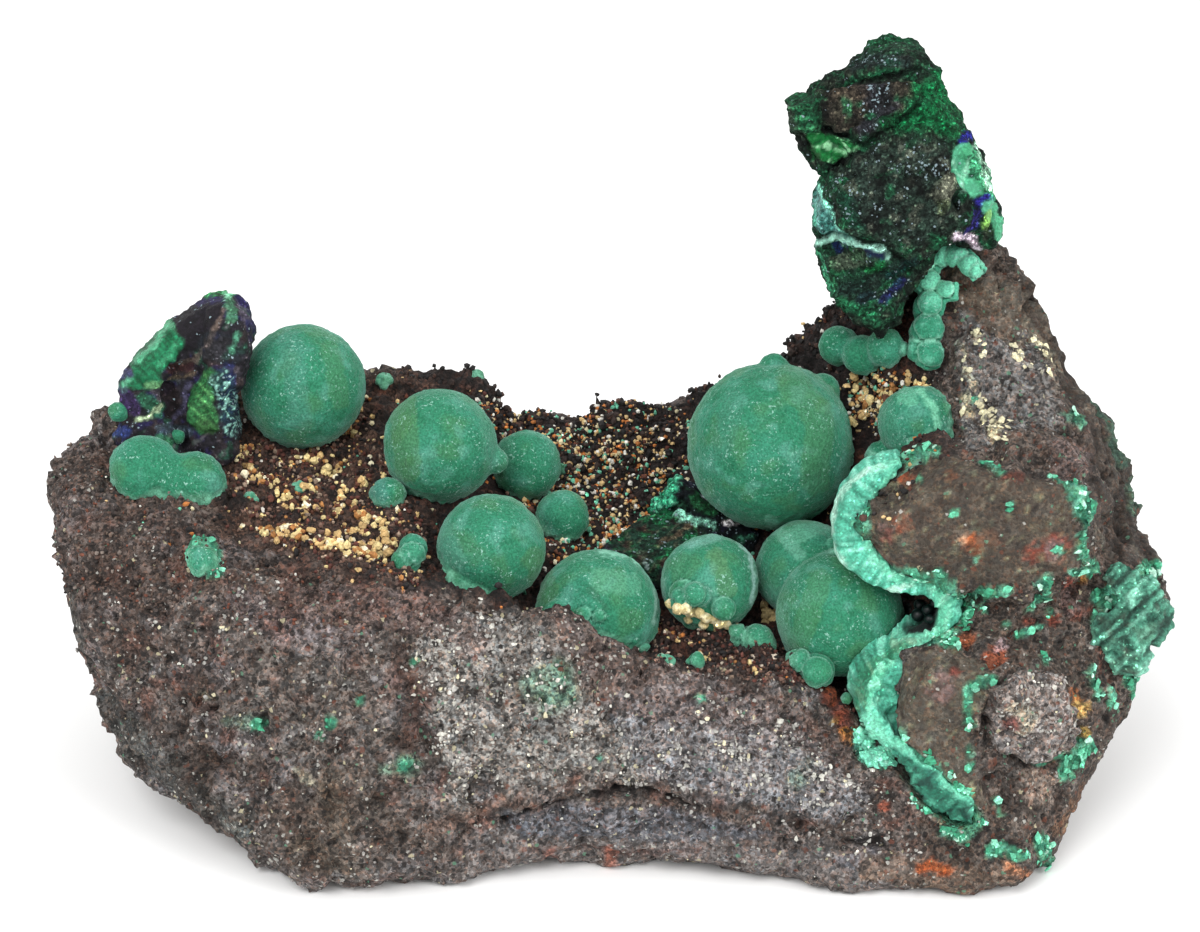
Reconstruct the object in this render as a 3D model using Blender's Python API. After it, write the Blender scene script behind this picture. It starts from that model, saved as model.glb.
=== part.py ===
"""Botryoidal malachite: green balls, crust and dark crystals in the hollow of a broken gossan rock.

The object stands on its flat foot on the plane z = 0. +X runs to the right, -Y towards the broken
front and +Z up. The origin is at the middle of the object's box, on that plane. The driving sizes
below are in millimetres, and the solids are in metres, at the real size.
"""

import math

import bmesh
import bpy
from mathutils import Matrix, Vector, noise

MM = 0.001

# How finely the rock is meshed, and how rough its broken surface is.
ROCK_STATIONS = 30          # sections from the left end to the right end
STEPS_PER_RAIL = 3          # points from one rail to the next around a section
FACET_SIZE = 8.0            # width of one flat break
FACET_DEPTH = 1.2           # how far a break stands in or out
FACET_TILT = 0.24           # how far a break leans
BACK_FACET_SIZE = 19.0      # the back of the rock has wider and deeper breaks as well
BACK_FACET_DEPTH = 2.2
BACK_FACET_TILT = 0.2
BACK_FROM, BACK_TO = 10, 20     # the y over which those breaks come in
GRAIN_SIZE = 3.4            # width of the lumps on a break
GRAIN_DEPTH = 0.5

# How the malachite and the crystals grow on the rock.
CLEARANCE = 0.4             # room between a grown piece and what carries it
BALL_WAVE = 0.035           # how far a ball is from round, as a share of its radius
LUMP_WAVE = 0.12            # the same for a lump or a crust
LARGE_BALL = 3.3            # a ball of at least this radius has the finer mesh
NODULE = 1.65               # a ball under this radius has the coarsest
CRYSTAL_BEVEL = 0.22        # how far a crystal's ends are drawn in, as a share of its outline

# The rock's rails run from its left end to its right end. Each point is x, y, z.
FRONT_FOOT = [
    (-53, -1, 25), (-51.2, -7, 16), (-49, -12, 9.5), (-42.5, -17.5, 5), (-34, -23, 2), (-24.5, -28, -0.5),
    (-16.5, -27, -0.5), (-10, -22.5, 0.3), (1, -21.8, 0.3), (12.5, -23, -0.3), (23, -26.5, -0.5),
    (37, -27, -0.5), (42.5, -21.5, 0), (45.8, -17, 5), (50.8, -12.5, 14), (53.4, -10, 22),
]
FRONT_BELLY = [
    (-53, -4, 28), (-51.5, -9, 22.5), (-48.5, -14, 19), (-42, -19, 15.5), (-34, -23, 13), (-24.5, -26, 12),
    (-16.5, -26, 11), (-10, -25, 9), (1, -25.5, 8.5), (12.5, -25.5, 7.5), (23, -27, 6), (37, -26, 9),
    (42.5, -22, 12), (46.5, -18, 14), (50.6, -14, 19), (53.4, -11, 23),
]
FRONT_SHOULDER = [
    (-53, -4.5, 30), (-51.2, -8, 28), (-49, -12, 27), (-42, -16, 25), (-34, -20, 23.5), (-24.5, -21.5, 23),
    (-16.5, -22, 22.5), (-10, -22, 21.5), (1, -22.5, 17.5), (12.5, -22, 15), (23, -23, 11.5),
    (30, -23.5, 14), (37, -20, 22), (43, -16, 23.5), (46.5, -14, 24), (49.5, -12, 24), (53.4, -10, 24),
]
FRONT_RIM = [
    (-53, -3, 31.5), (-51.2, -5.5, 31.5), (-48.5, -7, 31.2), (-42, -11.5, 29.7), (-35.5, -15, 28.6),
    (-26, -17, 28.2), (-17.5, -18, 27), (-10, -18, 26), (-2.5, -18, 23), (4, -18, 19), (10.5, -18, 19),
    (16.5, -18, 19), (23, -18.5, 15.3), (28, -18, 19), (33, -12, 29), (37, -8, 35), (43, -9, 31.5),
    (46.5, -9, 28.5), (49.5, -9, 26.5), (53.4, -9, 25),
]
HOLLOW_FRONT = [
    (-53, -1, 32), (-51.2, -1, 32.3), (-48.5, -2, 32.2), (-42, -6, 30.5), (-35.5, -9, 29), (-26, -11, 27.8),
    (-17.5, -12, 26), (-10, -12.5, 22.5), (-2.5, -12, 18.5), (4, -12, 18.5), (10.5, -12, 19.2),
    (16.5, -12, 17.2), (23, -12, 13.5), (28, -11, 17), (33, -6, 31), (37, -3, 38.5), (43, -4, 35.5),
    (46.5, -5, 31.5), (49.5, -6, 28.5), (53.4, -8, 25.5),
]
HOLLOW_MIDDLE = [
    (-53, 2, 32.3), (-51.2, 2.5, 33), (-48.5, 3, 33), (-42, 1, 31.5), (-35.5, -1, 29.8), (-26, -2, 28.8),
    (-17.5, -3, 27.8), (-10, -3, 24), (-2.5, -3, 21.5), (4, -3, 20), (10.5, -3, 20), (16.5, -3, 19),
    (23, -3, 16), (28, -3, 19), (33, 0, 34), (37, 3, 43), (42.5, 1, 39), (46, -1, 34.5), (49, -3, 30.5),
    (53.4, -7, 26),
]
HOLLOW_BACK = [
    (-53, 4, 32.3), (-51.2, 6, 33.2), (-48.5, 8, 33.5), (-42, 8, 32.3), (-35.5, 8, 31), (-26, 8, 30),
    (-17.5, 8, 29.5), (-10, 8, 25.8), (-2.5, 9, 23), (4, 9, 22), (10.5, 8, 23), (16.5, 7, 27), (23, 6, 33),
    (28, 5, 37), (33, 6, 42), (37, 8, 47), (42.5, 6, 41.5), (46, 4, 37), (49, 1, 32), (53.4, -5, 26),
]
BACK_RIM = [
    (-53, 6, 31.5), (-51.2, 9, 32.5), (-48.5, 11, 33.2), (-41, 14.5, 32.8), (-31, 16.5, 33), (-22, 18, 32.6),
    (-14, 18, 33), (-10, 20, 29), (-1.5, 22, 30), (4.5, 22, 28.3), (11.5, 20, 32), (17.5, 18, 37),
    (22.5, 16, 43), (29, 14, 46.7), (34, 13, 49), (39.5, 12, 50.6), (41.2, 11, 47.6), (44, 10, 42.3),
    (47.5, 6, 34.5), (53.4, -2, 25.5),
]
BACK_SHOULDER = [
    (-53, 7, 29), (-51.2, 12, 29), (-48.5, 15, 29), (-41, 19, 28), (-31, 21.5, 28), (-22, 23, 28),
    (-14, 23.5, 28), (-10, 24.5, 25), (-1.5, 26, 25), (4.5, 26, 24), (11.5, 25, 27), (17.5, 23.5, 31),
    (22.5, 22, 36), (29, 20, 39), (38.5, 18, 42), (43.5, 15, 36), (48, 10, 28.5), (53.4, 0, 23.5),
]
BACK_BELLY = [
    (-53, 5, 26.5), (-51.2, 12, 21), (-48.5, 17, 17), (-41, 22, 14), (-31, 25.5, 12), (-14, 27.4, 12),
    (0, 28.2, 12), (15, 27.8, 14), (29, 26.5, 16), (38.5, 24, 18), (43.5, 20, 17), (48, 12, 18),
    (53.4, 0, 21),
]
BACK_FOOT = [
    (-53, 2, 25), (-51.2, 6, 16), (-48.5, 12, 9), (-41, 18, 4), (-31, 22, 0), (-14, 25, -1), (0, 26, -1),
    (15, 25.5, -1), (29, 24.5, -0.5), (38.5, 21, 0), (44, 14, 2.5), (49.8, 5, 11), (53.4, -4, 20),
]
UNDERSIDE = [
    (-53, 0, 24.5), (-51.2, -1, 15), (-48.5, 0, 8), (-41, 0, 2.5), (-31, 0, -1), (0, 0, -2), (38, 0, -1.5),
    (44, -3, 1), (50, -4, 11), (53.4, -7, 20.5),
]
RAILS = [
    FRONT_FOOT, FRONT_BELLY, FRONT_SHOULDER, FRONT_RIM, HOLLOW_FRONT, HOLLOW_MIDDLE,
    HOLLOW_BACK, BACK_RIM, BACK_SHOULDER, BACK_BELLY, BACK_FOOT, UNDERSIDE,
]

# Lumps that stand proud on the rock's right wall: centre, radii, the y of the flat break on the front, and
# how finely the lump is meshed.
ROCK_LUMPS = [
    ((35.6, -12, 31.9), (11.6, 11, 7.0), -18.2, 3),
    ((33.6, -17, 14.8), (8.3, 16, 8.5), -25.4, 3),
    ((39.6, -21, 16.8), (4.4, 4.4, 4.3), -24.6, 2),
    ((46.5, -9, 23), (6, 7, 5), -14.5, 2),
]

# Malachite balls: each is one or more spheres grown together, as x, y, z and radius.
BALLS = {
    "ball_upper_left": [(-30.1, 10, 35.9, 6.2)],
    "ball_left": [(-16.2, 2.5, 32.8, 5.6), (-10.8, 2, 31.4, 1.3)],
    "ball_behind": [(-8, 9.5, 27.6, 3.5)],
    "ball_low_left": [(-4.3, 4, 24.4, 2.7)],
    "ball_front": [(-11, -8, 26.7, 5.2), (-14.2, -10.8, 24.6, 1.8), (-12.8, -11.8, 23.9, 1.5)],
    "ball_rim": [(-0.8, -10, 20.9, 6), (-4.6, -14.2, 22.8, 1.4), (-2.2, -15.2, 22.2, 1.2)],
    "ball_large": [(16.2, 4, 32.1, 8.2), (21.3, 6.5, 36.8, 1.8), (16.4, 6.5, 39.3, 1.5)],
    "ball_centre": [
        (10, -8, 22.9, 4.7), (7.2, -12.4, 23, 1.1), (8.8, -12.7, 23.9, 1.2), (11.1, -12.3, 22.4, 1.1),
    ],
    "balls_right": [(22.4, -11, 21.1, 6.1), (19.4, -4.6, 22.7, 4.9)],
    "ball_wall": [(30.4, 2, 35.2, 3.9), (26.8, 1.8, 31.8, 1.6)],
    "balls_left_end": [(-44.5, -3.4, 32.8, 3.4), (-42, -3.8, 31.9, 2.7), (-39.7, -3.5, 31.5, 3)],
    "ball_small_left": [(-21.2, -1.8, 29.4, 1.8)],
    "balls_small_front": [(-18.4, -10.6, 27.9, 1.4), (-18.8, -12, 27, 1.2)],
    "ball_left_slope": [(-38, -14.8, 28.6, 1.5)],
    "balls_hollow_right": [(23, 10.2, 40.2, 2), (25.2, 7.8, 40.2, 2), (27.3, 6.3, 41.6, 1.9)],
    "balls_rim_middle": [(14.3, -12, 18.5, 1.7), (12.8, -12.2, 19, 1.1)],
    "balls_rim_right": [(20, -16.8, 18, 1.7), (18.2, -16.2, 18.5, 1.3)],
}
# A ball broken off flat on its right, and how far that face is from its centre.
FLAT_SIDE = ("ball_rim", 5.0)

# A chain of small balls runs up the edge of the right wall and ends in an open ring.
CHAIN_BALLS = [
    (31.5, 5.2, 41, 1.6), (30.7, 5.8, 41.4, 1.2), (31.3, 6.5, 43, 1.8), (31.6, 7.9, 45.1, 1.7),
    (31.3, 9.6, 47.1, 1.6),
]
CHAIN_RING = [
    (31.5, 10, 47), (32.2, 11, 48.6), (33.6, 10.8, 49.6), (35, 10, 49.7), (36, 9.2, 48.9), (36.6, 8.6, 48.2),
]
CHAIN_HOOK = [(31.9, 9.2, 46.4), (33.1, 8.5, 46.5), (34.4, 7.9, 46.9)]
CHAIN_THICKNESS = 2.2

# The crust on the right wall, broken off flat in front: a band that winds round the two lobes. Each point
# is x, the y of the broken face, z and the thickness.
CRUST_PATH = [
    (27.8, -12.5, 37.4, 1.2), (24.9, -13, 35.8, 2.0), (23.6, -14, 33.9, 2.8), (23.1, -15, 31.8, 3.3),
    (23.3, -16, 29.7, 3.2), (24.8, -17, 28.3, 2.4), (27, -17.4, 27.2, 1.8), (29.6, -17.4, 26.9, 1.6),
    (31.6, -17.4, 26.2, 1.8), (32.4, -17.4, 24.6, 2), (31.2, -18.4, 22.9, 2), (28.4, -19, 21.6, 1.8),
    (26, -20.2, 20.2, 1.6), (24.7, -21.6, 18.9, 1.6), (24.4, -23, 17.2, 1.5), (25.4, -24.3, 15.4, 1.8),
    (27, -25.3, 13.6, 2), (28.9, -25.9, 11.7, 2.4), (30.9, -26.3, 9.7, 2.6), (32.8, -26.8, 7.9, 2.2),
    (34, -27.1, 6.8, 1.4),
]
CRUST_DEPTH = 4.5
CRUST_BULGE = ((27.2, -17.6, 17), (4.6, 4.4, 5), 2)

# The crumbly crust on the rock's right end, as overlapping lumps: centre, radii, and how finely each one
# is meshed.
PATCH_LUMPS = [
    ((50.2, -13.8, 24.2), (2.8, 2.4, 2.4), 2),
    ((51.2, -13.6, 21.7), (2.9, 2.8, 2.6), 2),
    ((47.8, -15.2, 21.4), (2.8, 2.2, 2.2), 2),
    ((49.2, -14.9, 19), (2.4, 2.4, 2.6), 2),
    ((48.4, -13.9, 26.4), (2.2, 1.8, 1.7), 1),
]

# Crystals: an outline in x and z, then the y of the front and of the back, and how far it leans back in z.
SPIRE = [
    ([(22, 66.8), (22.8, 69), (25.1, 70.7), (27.3, 71.6), (30.2, 71), (31.6, 68.8),
      (32, 66.4), (27, 65.4)], 6, 13, 0.2),
    ([(18.7, 66), (22.8, 68.6), (30.8, 69), (32.2, 66), (30, 63.7), (24, 63)], 4.6, 12.5, 0.2),
    ([(17.1, 65.9), (19, 66.4), (24, 64.9), (24, 60.9), (20.4, 59), (18.6, 61.6)], 5.4, 10.5, 0),
    ([(20.7, 63.9), (25, 66), (31.5, 66), (33.6, 62.6), (32, 59.4), (26, 59.7), (23, 61)], 3.4, 12, 0.1),
    ([(30, 68.2), (32.1, 66.4), (33.6, 63.6), (36.3, 60.4), (35.8, 58),
      (31, 58), (28, 61.4)], 4.4, 12, 0),
    ([(20.8, 59.2), (23.4, 61), (30, 61.2), (34.5, 60), (36, 56.2), (35, 54), (31.5, 52.2), (27.6, 50.2),
      (23.9, 51.8), (21.4, 54.2)], 2.4, 12, 0.1),
    ([(33, 60.8), (36.2, 60.6), (37, 57.7), (36.8, 53.8), (35, 52.6), (32, 54)], 4.6, 13, 0),
    ([(20, 54.9), (21, 58.4), (23, 56.4), (22.5, 52.4), (20.5, 51.8)], 4.6, 11, 0),
    ([(20.2, 51.9), (22.3, 53), (27, 52), (30, 50), (29.1, 46.7), (26.7, 43.4),
      (23.9, 45), (21.5, 48)], 3.2, 13, 0.2),
    ([(25, 53), (34, 54.8), (32.8, 53), (31, 51.2), (30, 48.6), (28.8, 45.6),
      (27.5, 43), (26, 43)], 5.4, 14, 0.1),
    ([(34.5, 57), (38.2, 55.6), (38.8, 53.4), (38, 50.8), (33.6, 50.8), (33, 54)], 8.2, 13, 0),
]
LEFT_CRYSTALS = [
    ([(-47.4, 38.8), (-46.4, 40.4), (-43, 43.4), (-41.4, 42), (-43, 37.5),
      (-45.5, 32.5), (-47.8, 34.4)], 3, 9, 0.1),
    ([(-44, 42.8), (-39.4, 45.7), (-36.9, 46.6), (-36.5, 43.8), (-39, 38), (-41.5, 30),
      (-45, 30), (-44.4, 37)], 4.4, 11, 0.1),
    ([(-38.8, 46), (-36.7, 46.7), (-34.8, 45.2), (-34.4, 42.4), (-35.4, 38),
      (-37.5, 36), (-39.5, 41)], 3.4, 9.5, 0.1),
    ([(-41, 37), (-38.5, 39.5), (-36.4, 36), (-36.1, 32), (-38, 28), (-41, 28.5)], 1.8, 8, 0.15),
    ([(-48.3, 33), (-46.3, 36.4), (-43, 36), (-40.8, 32), (-41.5, 27.5),
      (-46.5, 27.5), (-48, 30)], 1.2, 9.4, 0.15),
]
MIDDLE_CRYSTAL_TOP = [
    (-0.6, -2, 23.6), (3.4, 3, 25.1), (8.3, 4, 24.9), (13.2, 3, 23.8), (9.4, -1.5, 23.6), (5.5, -4, 22.6),
    (1.2, -3.5, 23.2),
]
MIDDLE_CRYSTAL_DROP = (0.3, -0.6, -2.2)
BEHIND_CRYSTALS = [
    ([(4.2, 23.5), (6, 26.2), (7.4, 27.2), (9.4, 26.4), (10.2, 22), (6, 21)], 4.6, 8, 0),
    ([(8, 26.4), (12.4, 25), (15.6, 23.2), (15.2, 21.4), (9, 21)], 2, 6, 0.3),
]

DARK_ROCK = (0.11, 0.09, 0.085)
MALACHITE = (0.04, 0.30, 0.15)
PALE_MALACHITE = (0.10, 0.50, 0.32)
DARK_CRYSTAL = (0.012, 0.045, 0.030)
AZURITE = (0.015, 0.015, 0.07)


def along(rail, x):
    """The rail's y and z at x, on a curve that never swings past its own points."""
    xs = [point[0] for point in rail]
    x = min(max(x, xs[0]), xs[-1])
    i = max(j for j in range(len(rail) - 1) if xs[j] <= x)
    span = xs[i + 1] - xs[i]
    t = (x - xs[i]) / span

    def slope(j, axis):
        if j in (0, len(rail) - 1):
            return 0.0
        before = (rail[j][axis] - rail[j - 1][axis]) / (xs[j] - xs[j - 1])
        after = (rail[j + 1][axis] - rail[j][axis]) / (xs[j + 1] - xs[j])
        return 2 * before * after / (before + after) if before * after > 0 else 0.0

    found = []
    for axis in (1, 2):
        a, b = rail[i][axis], rail[i + 1][axis]
        found.append(
            a * (2 * t**3 - 3 * t**2 + 1) + b * (3 * t**2 - 2 * t**3)
            + span * (slope(i, axis) * (t**3 - 2 * t**2 + t) + slope(i + 1, axis) * (t**3 - t**2))
        )
    return found


def section(x):
    """One closed section of the rock across X, as points through all the rails."""
    corners = [Vector((x, *along(rail, x))) for rail in RAILS]
    count = len(corners)
    points = []
    for i in range(count):
        a, b, c, d = (corners[(i + k) % count] for k in (-1, 0, 1, 2))
        for step in range(STEPS_PER_RAIL):
            t = step / STEPS_PER_RAIL
            bend = (2 * a - 5 * b + 4 * c - d) * t**2 + (3 * b - a - 3 * c + d) * t**3
            points.append(0.5 * (2 * b + (c - a) * t + bend))
    return points


def scattered(point):
    """Three unrelated values for a point, the same in every run."""
    return Vector([noise.noise(point + Vector((0, 0, 17.3 * k))) for k in range(3)])


def facet(point, size, depth, tilt):
    """How far one of the flat leaning breaks stands out at a point."""
    _, cells = noise.voronoi(point / size)
    lean = scattered(cells[0] * 3.1)
    return depth * lean.x + tilt * lean.dot(point - cells[0] * size)


def broken(point):
    """How far the broken surface stands out at a point, in millimetres: flat leaning breaks, then lumps."""
    behind = min(max((point.y - BACK_FROM) / (BACK_TO - BACK_FROM), 0), 1)
    wide = behind * facet(point, BACK_FACET_SIZE, BACK_FACET_DEPTH, BACK_FACET_TILT)
    narrow = facet(point, FACET_SIZE, FACET_DEPTH, FACET_TILT)
    return wide + narrow + GRAIN_DEPTH * noise.fractal(point / GRAIN_SIZE, 1.0, 2.0, 3)


def finished(mesh, name):
    """The bmesh, drawn in millimetres, as a mesh in metres."""
    bmesh.ops.recalc_face_normals(mesh, faces=mesh.faces)
    bmesh.ops.scale(mesh, vec=(MM, MM, MM), verts=mesh.verts)
    data = bpy.data.meshes.new(name)
    mesh.to_mesh(data)
    mesh.free()
    return data


def roughened(mesh):
    """Moves each point of the bmesh along its normal by the roughness of a broken face."""
    bmesh.ops.recalc_face_normals(mesh, faces=mesh.faces)
    mesh.normal_update()
    moves = [v.normal * broken(v.co) for v in mesh.verts]
    for v, move in zip(mesh.verts, moves):
        v.co += move


def broken_off(mesh, point, normal):
    """Cuts the bmesh by a plane and closes the cut, leaving what is behind the plane."""
    everything = mesh.verts[:] + mesh.edges[:] + mesh.faces[:]
    cut = bmesh.ops.bisect_plane(mesh, geom=everything, plane_co=point, plane_no=normal, clear_outer=True)
    edges = [part for part in cut["geom_cut"] if isinstance(part, bmesh.types.BMEdge)]
    bmesh.ops.contextual_create(mesh, geom=edges)
    bmesh.ops.triangulate(mesh, faces=mesh.faces)


def loft_mesh():
    mesh = bmesh.new()
    left, right = FRONT_FOOT[0][0], FRONT_FOOT[-1][0]
    rings = []
    for i in range(ROCK_STATIONS):
        x = left + (right - left) * i / (ROCK_STATIONS - 1)
        rings.append([mesh.verts.new(point) for point in section(x)])
    close_rings(mesh, rings)
    roughened(mesh)
    for v in mesh.verts:
        v.co.z = max(v.co.z, 0.0)
    return finished(mesh, "loft")


def ellipsoid(centre, radii, level):
    mesh = bmesh.new()
    bmesh.ops.create_icosphere(mesh, subdivisions=level, radius=1)
    for v in mesh.verts:
        v.co *= 1 + LUMP_WAVE * noise.noise(2 * v.co + Vector(centre))
    bmesh.ops.scale(mesh, vec=radii, verts=mesh.verts)
    bmesh.ops.translate(mesh, vec=centre, verts=mesh.verts)
    return mesh


def rough_lump_mesh(centre, radii, front, level):
    """A rough ellipsoid, broken off flat in front."""
    mesh = ellipsoid(centre, radii, level)
    roughened(mesh)
    broken_off(mesh, (0, front, 0), (0, -1, 0))
    return finished(mesh, "lump")


def band_mesh():
    """The crust's band: its section is flat on the broken front and a little full on the outside."""
    mesh = bmesh.new()
    rings = []
    for i, (x, y, z, thickness) in enumerate(CRUST_PATH):
        before, after = CRUST_PATH[max(i - 1, 0)], CRUST_PATH[min(i + 1, len(CRUST_PATH) - 1)]
        outward = Vector((after[2] - before[2], 0, before[0] - after[0])).normalized()
        half = thickness / 2
        profile = [
            (half - 0.3, 0), (half, 0.8), (half + 0.2, 0.6 * CRUST_DEPTH), (half - 0.4, CRUST_DEPTH),
            (-half, CRUST_DEPTH), (-half, 0.2),
        ]
        rings.append([mesh.verts.new(Vector((x, y + deep, z)) + outward * out) for out, deep in profile])
    close_rings(mesh, rings)
    return finished(mesh, "band")


def tube_mesh(path, thickness):
    """A tube of six sides along the points of the path."""
    points = [Vector(point) for point in path]
    mesh = bmesh.new()
    rings = []
    for i, point in enumerate(points):
        ahead = (points[min(i + 1, len(points) - 1)] - points[max(i - 1, 0)]).normalized()
        side = ahead.cross(Vector((0, 1, 0))).normalized()
        up = side.cross(ahead)
        ring = []
        for k in range(6):
            turn = math.radians(60 * k)
            outward = side * math.cos(turn) + up * math.sin(turn)
            ring.append(mesh.verts.new(point + outward * thickness / 2))
        rings.append(ring)
    close_rings(mesh, rings)
    return finished(mesh, "tube")


def close_rings(mesh, rings):
    """Skins the rings of points and closes the two ends."""
    around = len(rings[0])
    for first, second in zip(rings, rings[1:]):
        for k in range(around):
            mesh.faces.new((first[k], first[(k + 1) % around], second[(k + 1) % around], second[k]))
    for ring in (rings[0], rings[-1]):
        middle = mesh.verts.new(sum((v.co for v in ring), Vector()) / around)
        for k in range(around):
            mesh.faces.new((ring[k], ring[(k + 1) % around], middle))
    bmesh.ops.triangulate(mesh, faces=mesh.faces)


def ball_mesh(x, y, z, radius):
    """A sphere with the slow waves of a grown ball."""
    mesh = bmesh.new()
    middle = Vector((x, y, z))
    if radius >= LARGE_BALL:
        around = round(8 + 0.7 * radius)
        bmesh.ops.create_uvsphere(mesh, u_segments=around, v_segments=round(0.6 * around), radius=radius)
    else:
        bmesh.ops.create_icosphere(mesh, subdivisions=2 if radius >= NODULE else 1, radius=radius)
    for v in mesh.verts:
        v.co = middle + v.co * (1 + BALL_WAVE * noise.noise(v.co * 1.6 / radius + middle))
    return finished(mesh, "ball")


def crystal_mesh(outline, front, back, lean):
    """A block with the outline given, its front and back faces drawn in and leaning."""
    middle_x = sum(x for x, z in outline) / len(outline)
    middle_z = sum(z for x, z in outline) / len(outline)
    bevel = CRYSTAL_BEVEL * (back - front)
    mesh = bmesh.new()
    for x, z in outline:
        shift = lean * (z - middle_z)
        for y, share in ((front, CRYSTAL_BEVEL), (front + bevel, 0), (back, CRYSTAL_BEVEL / 2)):
            mesh.verts.new((x + (middle_x - x) * share, y + shift, z + (middle_z - z) * share))
    return hull(mesh)


def plate_mesh(top, drop):
    """A tabular crystal: its top face, and the same face again below it."""
    mesh = bmesh.new()
    for point in top:
        mesh.verts.new(point)
        mesh.verts.new(Vector(point) + Vector(drop))
    return hull(mesh)


def hull(mesh):
    made = bmesh.ops.convex_hull(mesh, input=mesh.verts)
    inside = [part for part in made["geom_interior"] if isinstance(part, bmesh.types.BMVert)]
    bmesh.ops.delete(mesh, geom=inside, context="VERTS")
    return finished(mesh, "crystal")


def helper(mesh):
    """An object that only shapes others, and isn't part of the piece."""
    obj = bpy.data.objects.new("helper", mesh)
    bpy.context.scene.collection.objects.link(obj)
    obj.hide_render = True
    obj.display_type = "WIRE"
    return obj


def boolean(obj, other, operation):
    step = obj.modifiers.new(operation.lower(), "BOOLEAN")
    step.operation = operation
    step.object = other
    step.solver = "EXACT"


def evaluated(obj):
    """A copy of the object's mesh with its modifiers applied."""
    bpy.context.view_layer.update()
    graph = bpy.context.evaluated_depsgraph_get()
    return bpy.data.meshes.new_from_object(obj.evaluated_get(graph))


def joined(meshes):
    """One mesh of several that overlap, with nothing left inside."""
    base = helper(meshes[0].copy())
    others = [helper(mesh) for mesh in meshes[1:]]
    for other in others:
        boolean(base, other, "UNION")
    result = evaluated(base)
    for obj in [base, *others]:
        bpy.data.objects.remove(obj)
    return result


def clearance(meshes):
    """A cutter a little larger than the meshes together, so that what it cuts keeps clear of them."""
    grown = []
    for mesh in meshes:
        shape = bmesh.new()
        shape.from_mesh(mesh)
        shape.normal_update()
        for v in shape.verts:
            v.co += v.normal * CLEARANCE * MM
        larger = bpy.data.meshes.new("grown")
        shape.to_mesh(larger)
        shape.free()
        grown.append(larger)
    return helper(joined(grown))


def material(name, colour, roughness):
    made = bpy.data.materials.new(name)
    made.use_nodes = True
    shader = made.node_tree.nodes["Principled BSDF"]
    shader.inputs["Base Color"].default_value = (*colour, 1)
    shader.inputs["Roughness"].default_value = roughness
    shader.inputs["Metallic"].default_value = 0
    return made


def piece(name, mesh, colour, roughness, cutters=()):
    """One sub-part: its own object and material, cut clear of what carries it."""
    obj = bpy.data.objects.new(name, mesh)
    bpy.context.scene.collection.objects.link(obj)
    mesh.name = name
    mesh.materials.clear()
    mesh.materials.append(material(name, colour, roughness))
    for cutter in cutters:
        boolean(obj, cutter, "DIFFERENCE")
    return obj


def ball_group(name, cutters):
    mesh = joined([ball_mesh(*sphere) for sphere in BALLS[name]])
    if name == FLAT_SIDE[0]:
        cut = bmesh.new()
        cut.from_mesh(mesh)
        broken_off(cut, ((BALLS[name][0][0] + FLAT_SIDE[1]) * MM, 0, 0), (1, 0, 0))
        cut.to_mesh(mesh)
        cut.free()
    return piece(name, mesh, MALACHITE, 0.85, cutters)


def ball_clearance(name):
    return clearance([ball_mesh(*sphere) for sphere in BALLS[name]])


def chain_parts():
    tubes = [tube_mesh(CHAIN_RING, CHAIN_THICKNESS), tube_mesh(CHAIN_HOOK, CHAIN_THICKNESS)]
    return tubes + [ball_mesh(*sphere) for sphere in CHAIN_BALLS]


def patch(cutters):
    lumps = [finished(ellipsoid(*lump), "lump") for lump in PATCH_LUMPS]
    return piece("patch_right", joined(lumps), PALE_MALACHITE, 0.8, cutters)


def crystals(name, blocks, colour, cutters):
    return piece(name, joined([crystal_mesh(*block) for block in blocks]), colour, 0.5, cutters)


def middle_crystal(cutters):
    blocks = [crystal_mesh(*block) for block in BEHIND_CRYSTALS]
    plate = plate_mesh(MIDDLE_CRYSTAL_TOP, MIDDLE_CRYSTAL_DROP)
    return piece("crystal_middle", joined([plate, *blocks]), DARK_CRYSTAL, 0.5, cutters)


def main():
    for obj in list(bpy.data.objects):
        bpy.data.objects.remove(obj)
    rock_parts = [loft_mesh()] + [rough_lump_mesh(*lump) for lump in ROCK_LUMPS]
    crust_parts = [band_mesh(), finished(ellipsoid(*CRUST_BULGE), "bulge")]
    clear_of_rock = clearance(rock_parts)
    clear_of_crust = clearance(crust_parts)
    piece("matrix", joined(rock_parts), DARK_ROCK, 0.9, [clear_of_crust])
    piece("crust", joined(crust_parts), PALE_MALACHITE, 0.8)
    neighbours = {"balls_right": [clear_of_crust], "balls_rim_right": [ball_clearance("balls_right")]}
    for name in BALLS:
        ball_group(name, [clear_of_rock] + neighbours.get(name, []))
    piece("chain_of_balls", joined(chain_parts()), PALE_MALACHITE, 0.8, [clear_of_rock])
    patch([clear_of_rock])
    beside_spire = [clearance(chain_parts()), ball_clearance("balls_hollow_right")]
    crystals("crystal_spire", SPIRE, DARK_CRYSTAL, [clear_of_rock] + beside_spire)
    crystals("crystals_left", LEFT_CRYSTALS, AZURITE, [clear_of_rock, ball_clearance("ball_upper_left")])
    middle_crystal([clear_of_rock, ball_clearance("ball_large"), ball_clearance("ball_centre")])


main()
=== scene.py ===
"""The looks of the botryoidal malachite: a broken gossan rock with velvety green balls in its hollow.

Sizes below are in millimetres unless a name says otherwise. Places on the rock are given by the point of
the 1200 x 932 picture where they show, and each is found by a ray from the camera to the rock, so that what
is put there sits on the rock.
"""

import itertools
import math

import bmesh
import bpy
import numpy as np
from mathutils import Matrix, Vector
from mathutils.bvhtree import BVHTree


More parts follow.
